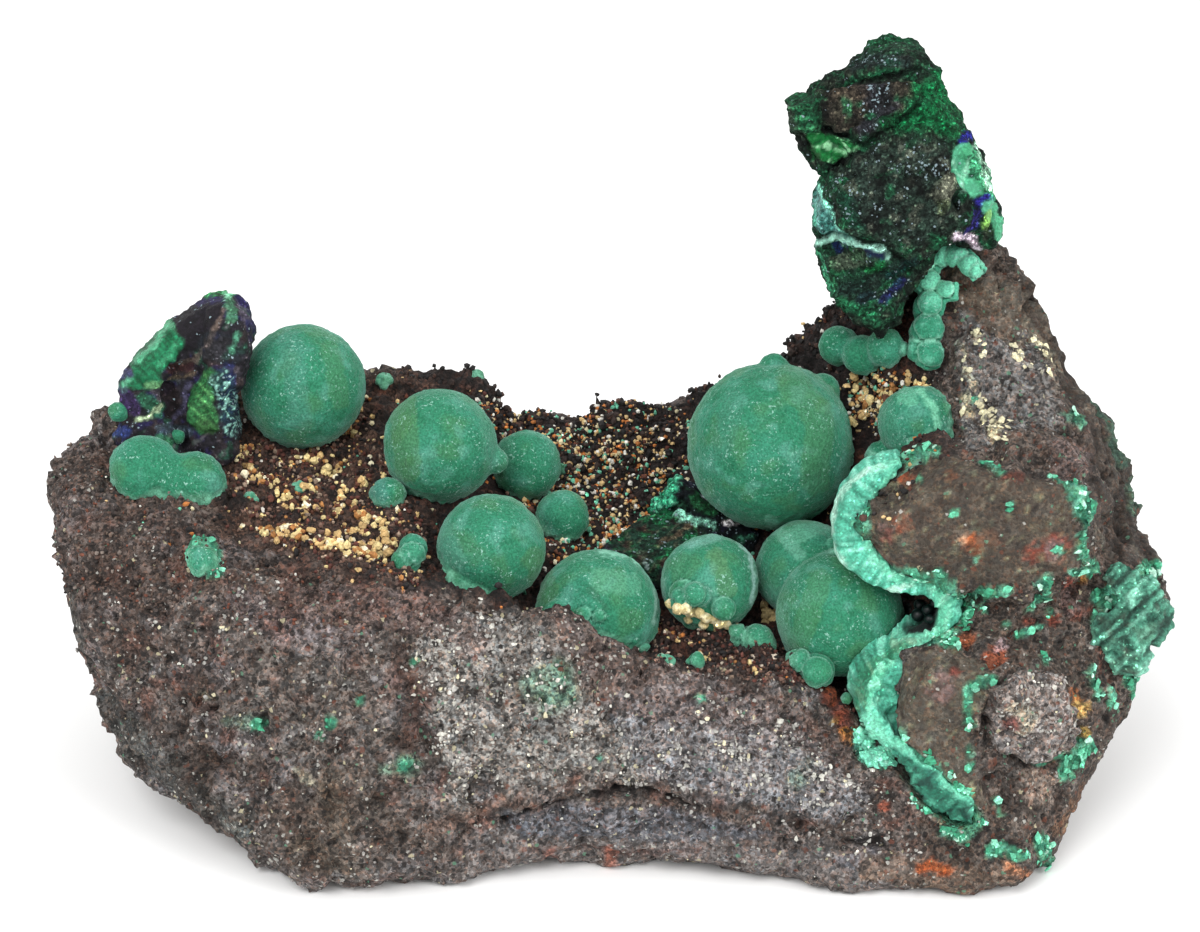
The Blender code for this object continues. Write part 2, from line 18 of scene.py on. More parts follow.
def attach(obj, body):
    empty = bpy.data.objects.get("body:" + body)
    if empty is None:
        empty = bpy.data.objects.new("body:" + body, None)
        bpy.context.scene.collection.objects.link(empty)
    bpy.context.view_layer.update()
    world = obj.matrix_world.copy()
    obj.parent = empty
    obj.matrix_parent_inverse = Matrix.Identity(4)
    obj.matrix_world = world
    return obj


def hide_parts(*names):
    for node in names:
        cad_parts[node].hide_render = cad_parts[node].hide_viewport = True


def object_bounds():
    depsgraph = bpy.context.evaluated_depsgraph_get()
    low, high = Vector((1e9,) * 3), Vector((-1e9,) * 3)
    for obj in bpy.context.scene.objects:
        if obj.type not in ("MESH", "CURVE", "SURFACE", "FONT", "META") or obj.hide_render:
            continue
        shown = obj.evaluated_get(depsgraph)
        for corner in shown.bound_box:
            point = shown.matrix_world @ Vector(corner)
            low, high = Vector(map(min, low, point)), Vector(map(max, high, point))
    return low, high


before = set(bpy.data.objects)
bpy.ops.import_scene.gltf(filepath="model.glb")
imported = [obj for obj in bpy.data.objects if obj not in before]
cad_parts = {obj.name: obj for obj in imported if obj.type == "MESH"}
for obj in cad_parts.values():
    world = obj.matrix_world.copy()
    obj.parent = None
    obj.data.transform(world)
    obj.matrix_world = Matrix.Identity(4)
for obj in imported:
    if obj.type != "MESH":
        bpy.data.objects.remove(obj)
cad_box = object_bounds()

MM = 0.001
WIDTH, HEIGHT = 1200, 932

# The camera.
ELEVATION = math.radians(24)
LENS, SENSOR = 110.0, 36.0
DISTANCE = 357.0
TARGET = Vector((-0.6, 0, 31.7))
FOCAL = LENS / SENSOR * WIDTH
BACKWARDS = Vector((0, -math.cos(ELEVATION), math.sin(ELEVATION)))
TO_CAMERA = np.array(BACKWARDS)
UPWARDS = Vector((0, math.sin(ELEVATION), math.cos(ELEVATION)))
EYE = TARGET + BACKWARDS * DISTANCE
POINTS_PER_MM = 10.27
FAR = 1e3


# ---------------------------------------------------------------- noise

def hashed(lattice, seed):
    """A steady number from 0 to 1 for each point of a lattice."""
    h = (lattice[:, 0] * 73856093) ^ (lattice[:, 1] * 19349663) ^ (lattice[:, 2] * 83492791)
    h = (h ^ (seed * 40503 + 977)) & 0xFFFFFFFF
    h = ((h ^ (h >> 15)) * 2246822519) & 0xFFFFFFFF
    h = ((h ^ (h >> 13)) * 3266489917) & 0xFFFFFFFF
    return ((h ^ (h >> 16)) & 0xFFFFFF) / 0xFFFFFF


def smooth_noise(p, size, seed=0):
    """Gradient noise from about -1 to 1, with waves of the size given."""
    q = p / size
    base = np.floor(q).astype(np.int64)
    f = q - base
    u = f * f * f * (f * (f * 6 - 15) + 10)
    total = np.zeros(len(p))
    for corner in itertools.product((0, 1), repeat=3):
        corner = np.array(corner)
        lattice = base + corner
        lean = np.stack([hashed(lattice, seed * 3 + k) * 2 - 1 for k in range(3)], 1)
        weight = np.where(corner, u, 1 - u).prod(1)
        total += weight * (lean * (f - corner)).sum(1)
    return total * 1.7


def fractal(p, size, octaves, seed=0):
    total, gain = 0, 1.0
    for k in range(octaves):
        total = total + gain * smooth_noise(p, size / 2**k, seed + k)
        gain *= 0.5
    return total


def blots(p, size, octaves, seed, low, high):
    """0 where the noise is below low and 1 where it is above high, or the other way round."""
    return ramp(fractal(p, size, octaves, seed), low, high)


def cells(p, size, seed=0):
    """For each point: how far its nearest cell's centre is, that cell's number, and the offset from the centre."""
    q = p / size
    base = np.floor(q).astype(np.int64)
    near = np.full(len(p), 9.0)
    number = np.zeros(len(p))
    offset = np.zeros((len(p), 3))
    for corner in itertools.product((-1, 0, 1), repeat=3):
        lattice = base + np.array(corner)
        centre = lattice + np.stack([hashed(lattice, seed * 5 + k) for k in range(3)], 1)
        away = q - centre
        d = np.linalg.norm(away, axis=1)
        closer = d < near
        near = np.where(closer, d, near)
        number = np.where(closer, hashed(lattice, seed * 5 + 4), number)
        offset = np.where(closer[:, None], away * size, offset)
    return near, number, offset


def chips(p, size, depth, tilt, seed):
    """Flat leaning breaks."""
    _, number, offset = cells(p, size, seed)
    turn = number * 2 * math.pi * 7
    rise = np.modf(number * 13.7)[0] * 2 - 1
    lean = np.stack([np.cos(turn), np.sin(turn), rise], 1)
    return depth * rise + tilt * (lean * offset).sum(1)


def plane_noise(x, y, seed, size=1.0, z=0.0):
    """Noise over two coordinates: streaks, where one of them runs more slowly than the other."""
    return smooth_noise(np.stack([x, y, 0 * x + z], 1), size, seed)


def ramp(x, low, high):
    """0 below low, 1 above high, smooth between; the other way round if low is the larger."""
    t = np.clip((x - low) / (high - low), 0, 1)
    return t * t * (3 - 2 * t)


# ---------------------------------------------------------------- meshes

def read(items, name):
    values = np.empty(len(items) * 3)
    items.foreach_get(name, values)
    return values.reshape(-1, 3)


def points_of(mesh):
    return read(mesh.vertices, "co") / MM


def normals_of(mesh):
    return read(mesh.vertex_normals, "vector")


def put_points(mesh, points):
    mesh.vertices.foreach_set("co", (points * MM).ravel())
    mesh.update()


def linked(name, data):
    """A new object in the scene."""
    obj = bpy.data.objects.new(name, data)
    bpy.context.scene.collection.objects.link(obj)
    return obj


def remeshed(mesh, voxel):
    """The surface of everything in the mesh, as even squares."""
    obj = linked("working", mesh)
    step = obj.modifiers.new("remesh", "REMESH")
    step.mode = "VOXEL"
    step.voxel_size = voxel * MM
    bpy.context.view_layer.update()
    made = bpy.data.meshes.new_from_object(obj.evaluated_get(bpy.context.evaluated_depsgraph_get()))
    bpy.data.objects.remove(obj)
    return made


def relaxed(mesh, rounds):
    """Evens out the mesh's points."""
    shape = bmesh.new()
    shape.from_mesh(mesh)
    for _ in range(rounds):
        bmesh.ops.smooth_vert(
            shape, verts=shape.verts, factor=0.5, use_axis_x=True, use_axis_y=True, use_axis_z=True
        )
    shape.to_mesh(mesh)
    shape.free()


def refined(mesh, wanted):
    """Splits the faces that are wanted into four."""
    shape = bmesh.new()
    shape.from_mesh(mesh)
    shape.faces.ensure_lookup_table()
    edges = {edge for face, yes in zip(shape.faces, wanted) if yes for edge in face.edges}
    bmesh.ops.subdivide_edges(shape, edges=list(edges), cuts=1, use_grid_fill=True)
    bmesh.ops.triangulate(shape, faces=[face for face in shape.faces if len(face.verts) > 4])
    shape.to_mesh(mesh)
    shape.free()


def merged(meshes):
    """One mesh that holds all of them."""
    shape = bmesh.new()
    for mesh in meshes:
        shape.from_mesh(mesh)
    made = bpy.data.meshes.new("merged")
    shape.to_mesh(made)
    shape.free()
    return made


def cad_mesh(*names):
    return merged([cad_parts[name].data for name in names])


def tree_of(mesh):
    shape = bmesh.new()
    shape.from_mesh(mesh)
    tree = BVHTree.FromBMesh(shape)
    shape.free()
    return tree


def distances(tree, p):
    """How far each point is from the tree's surface, in millimetres."""
    return np.array([tree.find_nearest(Vector(q) * MM)[3] for q in p]) / MM


def paint(mesh, colours):
    layer = mesh.color_attributes.new("tint", "FLOAT_COLOR", "POINT")
    layer.data.foreach_set("color", np.hstack([colours, np.ones((len(colours), 1))]).ravel())


def give(mesh, name, values):
    layer = mesh.attributes.new(name, "FLOAT", "POINT")
    layer.data.foreach_set("value", values)


def make(name, mesh, material, nodes=()):
    """A piece of the visual model."""
    mesh.name = name
    obj = linked(name, mesh)
    mesh.materials.clear()
    mesh.materials.append(material)
    mesh.shade_smooth()
    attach(obj, "root")
    for node in nodes:
        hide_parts(node)


def kept_inside(p):
    """Keeps points above the floor and within half a millimetre of the solids' box."""
    low, high = (np.array(corner) / MM for corner in cad_box)
    return np.clip(p, low + [-0.5, -0.5, 0], high + 0.5)


# ---------------------------------------------------------------- colours and materials

def srgb(r, g, b):
    """A colour as read by eye, as light."""
    c = np.array((r, g, b)) / 255
    return np.where(c <= 0.04045, c / 12.92, ((c + 0.055) / 1.055) ** 2.4)


class Nodes:
    """A material's nodes, with its texture coordinates in millimetres."""

    def __init__(self, name):
        self.material = bpy.data.materials.new(name)
        self.material.use_nodes = True
        self.tree = self.material.node_tree
        self.shader = self.tree.nodes["Principled BSDF"]
        place = self.node("ShaderNodeTexCoord", {}).outputs["Object"]
        self.place = self.node("ShaderNodeVectorMath", {0: place, "Scale": 1 / MM}, operation="SCALE").outputs[0]

    def node(self, kind, inputs, **settings):
        made = self.tree.nodes.new(kind)
        for name, value in settings.items():
            setattr(made, name, value)
        for name, value in inputs.items():
            self.link(value, made.inputs[name])
        return made

    def link(self, value, socket):
        if isinstance(value, bpy.types.NodeSocket):
            self.tree.links.new(value, socket)
        elif isinstance(value, (int, float)):
            socket.default_value = value
        else:
            socket.default_value = (*value, 1) if len(socket.default_value) == 4 else tuple(value)

    def set(self, name, value):
        self.link(value, self.shader.inputs[name])

    def attribute(self, name="tint", output="Color"):
        return self.node("ShaderNodeAttribute", {}, attribute_name=name).outputs[output]

    def factor(self, name):
        return self.attribute(name, "Fac")

    def placed(self, shift):
        return self.node("ShaderNodeMapping", {"Vector": self.place, "Location": shift}).outputs[0]

    def noise(self, size, detail=3.0, rough=0.5, shift=(0, 0, 0)):
        inputs = {"Vector": self.placed(shift), "Scale": 1 / size, "Detail": detail, "Roughness": rough}
        return self.node("ShaderNodeTexNoise", inputs).outputs["Fac"]

    def math(self, operation, a, b):
        return self.node("ShaderNodeMath", {0: a, 1: b}, operation=operation).outputs[0]

    def times(self, a, b):
        return self.math("MULTIPLY", a, b)

    def plus(self, a, b):
        return self.math("ADD", a, b)

    def ramp(self, value, low, high, to_low=0.0, to_high=1.0):
        if low > high:
            low, high, to_low, to_high = high, low, to_high, to_low
        inputs = {"Value": value, "From Min": low, "From Max": high, "To Min": to_low, "To Max": to_high}
        return self.node("ShaderNodeMapRange", inputs, interpolation_type="SMOOTHSTEP").outputs[0]

    def grains(self, size, shift=(0, 0, 0)):
        """Uneven grains of about the size given: how far each place is from its grain's middle, as a share of
        the size, and three steady numbers of the grain."""
        place = self.placed(shift)
        wave = self.node("ShaderNodeTexNoise", {"Vector": place, "Scale": 1.4 / size}).outputs["Color"]
        bent = self.node("ShaderNodeVectorMath", {0: wave, 1: (size,) * 3, 2: place}, operation="MULTIPLY_ADD")
        cell = self.node("ShaderNodeTexVoronoi", {"Vector": bent.outputs[0], "Scale": 1 / size})
        numbers = self.node("ShaderNodeSeparateColor", {0: cell.outputs["Color"]})
        return (cell.outputs["Distance"], *numbers.outputs)

    def specks(self, size, share, shift=(0, 0, 0), least=0.18, most=0.5):
        """Points in the share of the grains given."""
        near, first, second, _ = self.grains(size, shift)
        here = self.math("GREATER_THAN", first, self.math("SUBTRACT", 1.0, share))
        edge = self.ramp(second, 0, 1, least, most)
        return self.times(here, self.ramp(self.math("SUBTRACT", near, edge), 0.07, -0.07))

    def mix(self, share, a, b, how="MIX"):
        inputs = {0: share, 6: a, 7: b}
        return self.node("ShaderNodeMix", inputs, data_type="RGBA", blend_type=how).outputs[2]

    def shaded(self, colour, shade):
        return self.mix(1.0, colour, shade, "MULTIPLY")

    def bump(self, height, size):
        """Height from 0 to 1 stands for size millimetres."""
        inputs = {"Strength": 1.0, "Distance": size * MM, "Height": height}
        return self.node("ShaderNodeBump", inputs).outputs[0]


def rock_material():
    n = Nodes("gossan")
    even = n.factor("smooth")
    near, shade, hue, _ = n.grains(0.27)
    _, broad_shade, broad_hue, _ = n.grains(0.65, (9, 4, 2))
    shades = n.times(n.ramp(shade, 0, 1, 0.4, 1.62), n.ramp(broad_shade, 0, 1, 0.68, 1.34))
    shades = n.times(shades, n.ramp(n.noise(1.1, 6, 0.75), 0.33, 0.67, 0.5, 1.55))
    shades = n.mix(n.ramp(even, 0, 1, 0.0, 0.5), shades, (1, 1, 1))
    colour = n.shaded(n.attribute(), shades)
    colour = n.mix(n.ramp(hue, 0.62, 0.8, 0, 0.8), colour, n.shaded(colour, (1.14, 0.90, 0.78)))
    colour = n.mix(n.ramp(broad_hue, 0.4, 0.1, 0, 0.8), colour, n.shaded(colour, (0.90, 1.0, 1.08)))
    dark = n.times(n.specks(0.5, 0.2, (3, 47, 3), 0.2, 0.6), n.ramp(even, 0, 1, 0.85, 0.5))
    colour = n.mix(dark, colour, srgb(34, 30, 29))
    rust = n.specks(0.5, n.times(n.factor("rust"), 0.11), (71, 3, 12), 0.2, 0.6)
    colour = n.mix(n.times(rust, 0.55), colour, srgb(128, 72, 52))
    fleck = n.specks(0.45, n.times(n.factor("rust"), 0.06), (5, 33, 62), 0.2, 0.5)
    colour = n.mix(n.times(fleck, 0.7), colour, srgb(104, 158, 128))
    # White specks where the sparkle factor is high: painted glints.
    where = n.times(n.factor("sparkle"), n.ramp(n.noise(3, 3, 0.6, (5, 5, 41)), 0.40, 0.64, 0.04, 0.38))
    white = n.specks(0.42, where, (17, 3, 29), 0.18, 0.45)
    colour = n.mix(n.times(white, 0.8), colour, srgb(208, 206, 198))
    cream = n.specks(0.5, n.times(n.factor("sparkle"), 0.04), (7, 63, 2), 0.2, 0.5)
    colour = n.mix(n.times(cream, 0.8), colour, srgb(212, 202, 166))
    n.set("Base Color", colour)
    n.set("Roughness", n.ramp(white, 0, 1, 0.8, 0.35))
    n.set("Specular IOR Level", 0.4)
    height = n.plus(n.noise(0.5, 5, 0.75), n.times(near, -0.5))
    n.set("Normal", n.bump(n.plus(height, n.times(n.noise(1.3, 3, 0.6), 0.8)), 0.6))
    return n.material


VELVET_LOOK = {"Roughness": 0.85, "Specular IOR Level": 0.2, "Sheen Weight": 0.5, "Sheen Roughness": 0.24}


def velvet_material():
    """Malachite whose surface is a pile of very fine needles."""
    n = Nodes("velvet")
    pile = n.noise(0.22, 4, 0.7)
    shade = n.mix(n.ramp(pile, 0.34, 0.66), (0.66, 0.70, 0.69), (1.34, 1.28, 1.30))
    colour = n.shaded(n.attribute(), shade)
    # Pale specks in patches: painted glints.
    shine = n.ramp(n.noise(0.3, 3, 0.7, (11, 2, 5)), 0.58, 0.66)
    shine = n.times(shine, n.ramp(n.noise(2.4, 2), 0.42, 0.62, 0.12, 0.8))
    colour = n.mix(shine, colour, srgb(156, 202, 188))
    n.set("Base Color", colour)
    n.set("Sheen Tint", srgb(196, 235, 222))
    for name, value in VELVET_LOOK.items():
        n.set(name, value)
    n.set("Normal", n.bump(n.plus(pile, n.times(n.noise(0.5, 2), 0.6)), 0.12))
    return n.material


def tinted_material(name, grain=0.3, vary=0.35, height=0.15, sheen=0.0, specular=0.4):
    """Takes its colour, its gloss and the places of its painted glints from the mesh."""
    n = Nodes(name)
    fine = n.noise(grain, 5, 0.72)
    _, shade, _, _ = n.grains(grain * 1.3, (2, 8, 5))
    shades = n.times(
        n.ramp(fine, 0.33, 0.67, 1 - vary, 1 + vary), n.ramp(shade, 0, 1, 1 - 0.7 * vary, 1 + 0.7 * vary)
    )
    shades = n.mix(n.ramp(n.factor("gloss"), 0.55, 0.9, 0.0, 0.7), shades, (1, 1, 1))
    colour = n.shaded(n.attribute(), shades)
    light = n.times(
        n.specks(0.3, 0.6 * vary * vary, (4, 4, 1), 0.2, 0.55), n.ramp(n.factor("gloss"), 0, 0.8, 1.0, 0.1)
    )
    colour = n.mix(light, colour, n.shaded(colour, (3.2, 3.1, 3.0)))
    # Bluish white points where the sparkle factor is high: painted glints.
    clusters = n.ramp(n.noise(1.8, 3, 0.6, (1, 9, 6)), 0.46, 0.6, 0.03, 1.0)
    points = n.specks(0.3, n.times(n.factor("sparkle"), clusters), (19, 4, 8), 0.15, 0.5)
    n.set("Base Color", n.mix(n.times(points, 0.8), colour, srgb(150, 172, 180)))
    n.set("Roughness", n.ramp(n.factor("gloss"), 0, 1, 0.85, 0.4))
    n.set("Specular IOR Level", specular)
    if sheen:
        n.set("Sheen Weight", sheen)
        n.set("Sheen Roughness", 0.4)
    n.set("Normal", n.bump(n.plus(fine, n.times(points, 0.5)), height))
    return n.material


def dressed(name, mesh, coat, material, slot, nodes=(), **factors):
    """A piece with its colours, and with what its material reads from it besides."""
    paint(mesh, coat.colours)
    for factor, values in factors.items():
        give(mesh, factor, np.broadcast_to(values, len(mesh.vertices)))
    make(name, mesh, material, nodes)


# ---------------------------------------------------------------- the rock

FRONT_RIM_LINE = [
    (-54, -3), (-48, -7.5), (-42, -12), (-35, -15.5), (-26, -17.5), (-17, -18.5), (10, -18.5), (23, -19),
    (28, -18), (33, -12), (37, -7), (53, -8),
]
BACK_RIM_LINE = [
    (-54, 6), (-48, 11), (-41, 14.5), (-31, 16.5), (-14, 18), (-10, 20), (4, 22), (11, 20), (22, 16), (29, 14),
    (38, 12), (53, -2),
]
first_tree = tree_of(cad_mesh("matrix"))
crust_tree = tree_of(cad_mesh("crust"))


def ray(u, v):
    """The direction from the camera through a point of the picture."""
    across = Vector((1, 0, 0)) * ((u - WIDTH / 2) / FOCAL)
    return (-BACKWARDS + across + UPWARDS * ((HEIGHT / 2 - v) / FOCAL)).normalized()


# How far from the camera the specimen can be, in steps of 2.
REACH = range(310, 400, 2)


def seat(u, v, tree=first_tree):
    """Where the ray through a point of the picture meets or passes the rock, and the surface's direction there."""
    place, direction, _, _ = tree.ray_cast(EYE * MM, ray(u, v))
    if place is None:
        along = [tree.find_nearest((EYE + ray(u, v) * t) * MM) for t in REACH]
        place, direction, _, _ = min(along, key=lambda found: found[3])
    return np.array(place) / MM, np.array(direction)


class View:
    """A surface as it shows in the picture. Places on it are given by points of the picture, and widths by the
    picture's points too, about ten to the millimetre. What the picture doesn't show is left out of every mask."""

    def __init__(self, p, n, tree=None):
        self.p = p
        away = p - np.array(EYE)
        depth = -(away @ TO_CAMERA)
        self.u = WIDTH / 2 + FOCAL * away[:, 0] / depth
        self.v = HEIGHT / 2 - FOCAL * (away @ np.array(UPWARDS)) / depth
        self.shown = ramp(n @ TO_CAMERA, -0.15, 0.1)
        if tree is not None:
            length = np.linalg.norm(away, axis=1)
            for k in np.flatnonzero(self.shown > 0):
                if tree.ray_cast(EYE * MM, Vector(away[k]), (length[k] - 1.3) * MM)[0] is not None:
                    self.shown[k] = 0

    def edged(self, away, soft, rough, size, seed):
        """1 where the distance from an edge is below 0, with a ragged edge."""
        close = (away < soft + 2 * rough) & (self.shown > 0)
        mask = np.zeros(len(away))
        ragged = away[close] + rough * fractal(self.p[close], size, 3, seed)
        mask[close] = ramp(ragged, soft, -soft) * self.shown[close]
        return mask

    def spot(self, u, v, across, down=0, soft=2.0, rough=3.0, size=0.9):
        down = down or across
        away = (np.hypot((self.u - u) / across, (self.v - v) / down) - 1) * min(across, down)
        return self.edged(away, soft, rough, size, (u + v) % 89)

    def sides(self, picks):
        """The two ends of each straight part between picks, and how far away it is."""
        points = list(zip(picks[::2], picks[1::2]))
        for (u0, v0), (u1, v1) in zip(points, points[1:]):
            along, down = u1 - u0, v1 - v0
            t = np.clip(((self.u - u0) * along + (self.v - v0) * down) / (along**2 + down**2), 0, 1)
            yield u0, v0, u1, v1, np.hypot(self.u - u0 - t * along, self.v - v0 - t * down)

    def line(self, picks, width, soft=1.5, rough=2.5, size=0.8):
        away = np.minimum.reduce([distance for *_, distance in self.sides(picks)])
        return self.edged(away - width / 2, soft, rough, size, sum(picks[:2]) % 89)

    def lines(self, *rows):
        return np.maximum.reduce([self.line(*row) for row in rows])

    def zone(self, picks, soft=2.5, rough=4.0, size=1.2):
        away = np.full(len(self.u), FAR)
        inside = np.zeros(len(self.u), bool)
        for u0, v0, u1, v1, distance in self.sides((*picks, *picks[:2])):
            away = np.minimum(away, distance)
            if v1 != v0:
                crosses = (v0 > self.v) != (v1 > self.v)
                inside ^= crosses & (self.u < u0 + (self.v - v0) * (u1 - u0) / (v1 - v0))
        return self.edged(np.where(inside, -away, away), soft, rough, size, sum(picks[:2]) % 89)


class Coat:
    """The colours of a surface: a first one, and others laid over it, each with its share at every point."""

    def __init__(self, view, *first):
        self.view = view
        self.colours = np.tile(srgb(*first), (len(view.p), 1))

    def blend(self, share, colours):
        self.colours = self.colours + (colours - self.colours) * share[:, None]

    def lay(self, share, *colour):
        self.blend(share, srgb(*colour))

    def mottle(self, size, octaves, seed, low, high, share, *colour):
        """Lays a colour where noise with waves of the size given rises from low to high."""
        self.lay(blots(self.view.p, size, octaves, seed, low, high) * share, *colour)

    def strokes(self, rows):
        """Lays strokes, each a width, a share, a colour and its points of the picture: a spot where there is one
        point, a whole outline where the width is 0, and a line otherwise."""
        for width, share, colour, *picks in rows:
            if len(picks) == 2:
                mask = self.view.spot(*picks, width, 0, 1.2, 4.0, 0.7)
            else:
                mask = self.view.line(picks, width) if width else self.view.zone(picks)
            self.lay(mask * share, *colour)



def along_line(line, x):
    return np.interp(x, [a for a, b in line], [b for a, b in line])


def hollow_share(p, normals):
    """1 in the hollow between the front rim and the back rim, 0 on the broken outside."""
    wobble = 0.8 * smooth_noise(p, 3, 5)
    inside = ramp(p[:, 1] - along_line(FRONT_RIM_LINE, p[:, 0]) + wobble, 0, 1.6)
    inside = inside * ramp(along_line(BACK_RIM_LINE, p[:, 0]) + 3 - p[:, 1] + wobble, 0, 1.5)
    upper = ramp(p[:, 2], 10, 13) * ramp(normals[:, 2], -0.5, -0.2)
    return inside * upper * ramp(p[:, 0] + wobble, 34.5, 31) * ramp(p[:, 0], -50, -46)


# The path of the crust, as in the solids: x, y of its face, z and thickness.
CRUST_PATH = [
    (27.8, -12.5, 37.4, 1.2), (24.9, -13, 35.8, 2), (23.6, -14, 33.9, 2.8), (23.1, -15, 31.8, 3.3),
    (23.3, -16, 29.7, 3.2), (24.8, -17, 28.3, 2.4), (27, -17.4, 27.2, 1.8), (29.6, -17.4, 26.9, 1.6),
    (31.6, -17.4, 26.2, 1.8), (32.4, -17.4, 24.6, 2), (31.2, -18.4, 22.9, 2), (28.4, -19, 21.6, 1.8),
    (26, -20.2, 20.2, 1.6), (24.7, -21.6, 18.9, 1.6), (24.4, -23, 17.2, 1.5), (25.4, -24.3, 15.4, 1.8),
    (27, -25.3, 13.6, 2), (28.9, -25.9, 11.7, 2.4), (30.9, -26.3, 9.7, 2.6), (32.8, -26.8, 7.9, 2.2),
    (34, -27.1, 6.8, 1.4),
]


def along_path(p, path):
    """How far along a path each point is, and how far to its right, in the plane of x and z."""
    along, across = np.zeros(len(p)), np.full(len(p), FAR)
    done = 0.0
    for a, b in zip(path, path[1:]):
        step = np.array((b[0] - a[0], b[2] - a[2]))
        length = np.hypot(*step)
        step = step / length
        q = p[:, [0, 2]] - np.array((a[0], a[2]))
        t = np.clip(q @ step, 0, length)
        off = q - t[:, None] * step
        away = np.hypot(off[:, 0], off[:, 1])
        closer = away < np.abs(across)
        side = np.sign(off[:, 0] * -step[1] + off[:, 1] * step[0])
        across = np.where(closer, away * side, across)
        along = np.where(closer, done + t, along)
        done += length
    return along, across


def crust_face(along):
    """How far back the crust's face lies, by how far along its path."""
    steps = zip(CRUST_PATH, CRUST_PATH[1:])
    lengths = np.cumsum([0.0] + [math.hypot(b[0] - a[0], b[2] - a[2]) for a, b in steps])
    return np.interp(along, lengths, [y for _, y, _, _ in CRUST_PATH])


PALE_FRONT = (
    425, 640, 445, 608, 500, 595, 545, 612, 565, 650, 600, 700, 645, 740, 640, 780, 520, 800, 450, 790, 430, 720,
)
UPPER_LOBE = (
    891, 470, 905, 462, 939, 453, 957, 453, 982, 465, 1006, 479, 1030, 476, 1062, 484, 1070, 505, 1078, 530,
    1078, 556, 1062, 572, 1045, 580, 1000, 585, 960, 582, 930, 577, 895, 571, 880, 563, 870, 550, 866, 530,
    873, 510, 876, 495,
)
LOWER_LOBE = (
    874, 700, 893, 673, 917, 653, 955, 647, 975, 655, 990, 675, 985, 700, 975, 720, 972, 760, 985, 790, 985, 812,
    962, 795, 942, 780, 933, 765, 915, 752, 897, 736, 884, 725,
)
KNOB = (
    992, 688, 1010, 675, 1040, 673, 1062, 680, 1066, 705, 1078, 730, 1064, 752, 1030, 762, 1003, 754, 988, 735,
    990, 708,
)

ROCK_VOXEL = 0.81
rock = remeshed(cad_mesh("matrix"), ROCK_VOXEL)
relaxed(rock, 3)
p, n = points_of(rock), normals_of(rock)
seen = (n @ TO_CAMERA > -0.2) & (p[:, 2] > 1)
face_corners = np.array([list(face.vertices)[:3] for face in rock.polygons])
refined(rock, seen[face_corners].any(1))
p, n = points_of(rock), normals_of(rock)
view = View(p, n, first_tree)

hollow = hollow_share(p, n)
wall = ramp(p[:, 0] + 0.5 * fractal(p, 4, 2, 8), 27.5, 30.5) * (1 - hollow)
front = (1 - hollow) * (1 - wall)
base = ramp(p[:, 2], 6, 2.5)
foot = np.maximum(view.line((480, 850, 560, 848, 700, 850, 860, 870, 1000, 885), 40, 12, 10, 4), base * 0.6)
light = view.zone(PALE_FRONT, 14, 20, 4) * front
lobes = np.maximum(view.zone(UPPER_LOBE, 5, 3), view.zone(LOWER_LOBE, 5, 3))
knob = view.zone(KNOB, 6, 4)

# The pale malachite that skins parts of the wall.
SKIN_LINES = [
    (9, 1066, 486, 1078, 492, 1090, 506, 1086, 524, 1082, 545, 1081, 556), (13, 1072, 492, 1082, 515),
    (6, 1081, 556, 1095, 564, 1084, 569, 1070, 570), (4, 1051, 470, 1064, 480), (3, 982, 457, 1002, 471),
    (8, 973, 593, 988, 591, 1006, 588), (5, 962, 604, 984, 608), (7, 1038, 584, 1048, 578, 1044, 595),
    (6, 1026, 611, 1040, 597), (4, 1017, 637, 1035, 628),
    (15, 938, 581, 953, 588, 957, 602, 952, 615, 948, 623), (6, 952, 588, 964, 592),
    (14, 912, 638, 935, 635, 953, 644), (7, 879, 562, 898, 574, 925, 579), (5, 872, 500, 866, 530, 871, 552),
    (9, 968, 693, 978, 686, 991, 680), (7, 967, 700, 969, 724), (4, 969, 745, 970, 768),
    (7, 1087, 667, 1093, 680, 1096, 696), (6, 1108, 690, 1109, 705), (17, 1084, 745, 1074, 760, 1064, 772),
    (6, 1042, 762, 1060, 755), (13, 992, 852, 1006, 848, 1018, 855), (14, 1041, 840, 1043, 856),
    (8, 944, 832, 962, 838), (4, 998, 800, 1002, 815), (20, 1100, 625, 1120, 640, 1132, 665, 1135, 685),
    (24, 1105, 600, 1130, 590, 1150, 572), (4, 1058, 422, 1068, 436), (7, 868, 478, 890, 462, 915, 455),
    (6, 915, 455, 935, 449), (14, 874, 707, 868, 728, 866, 752, 882, 757, 893, 741),
]
SKIN_SPOTS = [
    (205, 557, 15), (214, 572, 9), (196, 548, 6), (330, 722, 7), (322, 735, 4), (255, 725, 5), (415, 660, 4),
    (1060, 550, 5), (600, 760, 3), (700, 700, 4), (360, 700, 4), (405, 766, 6), (955, 512, 4), (975, 560, 3),
    (1010, 505, 4), (1045, 660, 5), (975, 400, 4), (920, 481, 4), (898, 737, 8), (1005, 625, 3),
    (1048, 612, 3),
]
skin = np.zeros(len(p))
for width, *picks in SKIN_LINES:
    skin = np.maximum(skin, view.line(picks, width, 1.5, 3.0, 0.7))
for u, v, radius in SKIN_SPOTS:
    skin = np.maximum(skin, view.spot(u, v, radius, 0, 1.5, 3.0, 0.7))
back_patches = blots(p, 9, 3, 77, 0.62, 0.75) * ramp(n @ TO_CAMERA, -0.35, -0.6) * ramp(p[:, 2], 5, 12)
skin = np.maximum(skin, back_patches * blots(p, 1.3, 2, 78, -0.4, 0.1))
FAINT_SPOTS = [
    (0.4, 552, 690, 24, 22, 10, 8), (0.5, 408, 766, 13, 8, 6, 8), (0.35, 243, 724, 11, 7, 6, 8),
    (0.35, 206, 698, 7, 5, 4, 6), (0.3, 800, 775, 10, 10, 6, 8),
]
faint = sum(share * view.spot(*spot, 2) for share, *spot in FAINT_SPOTS)
by_crust = distances(crust_tree, p)

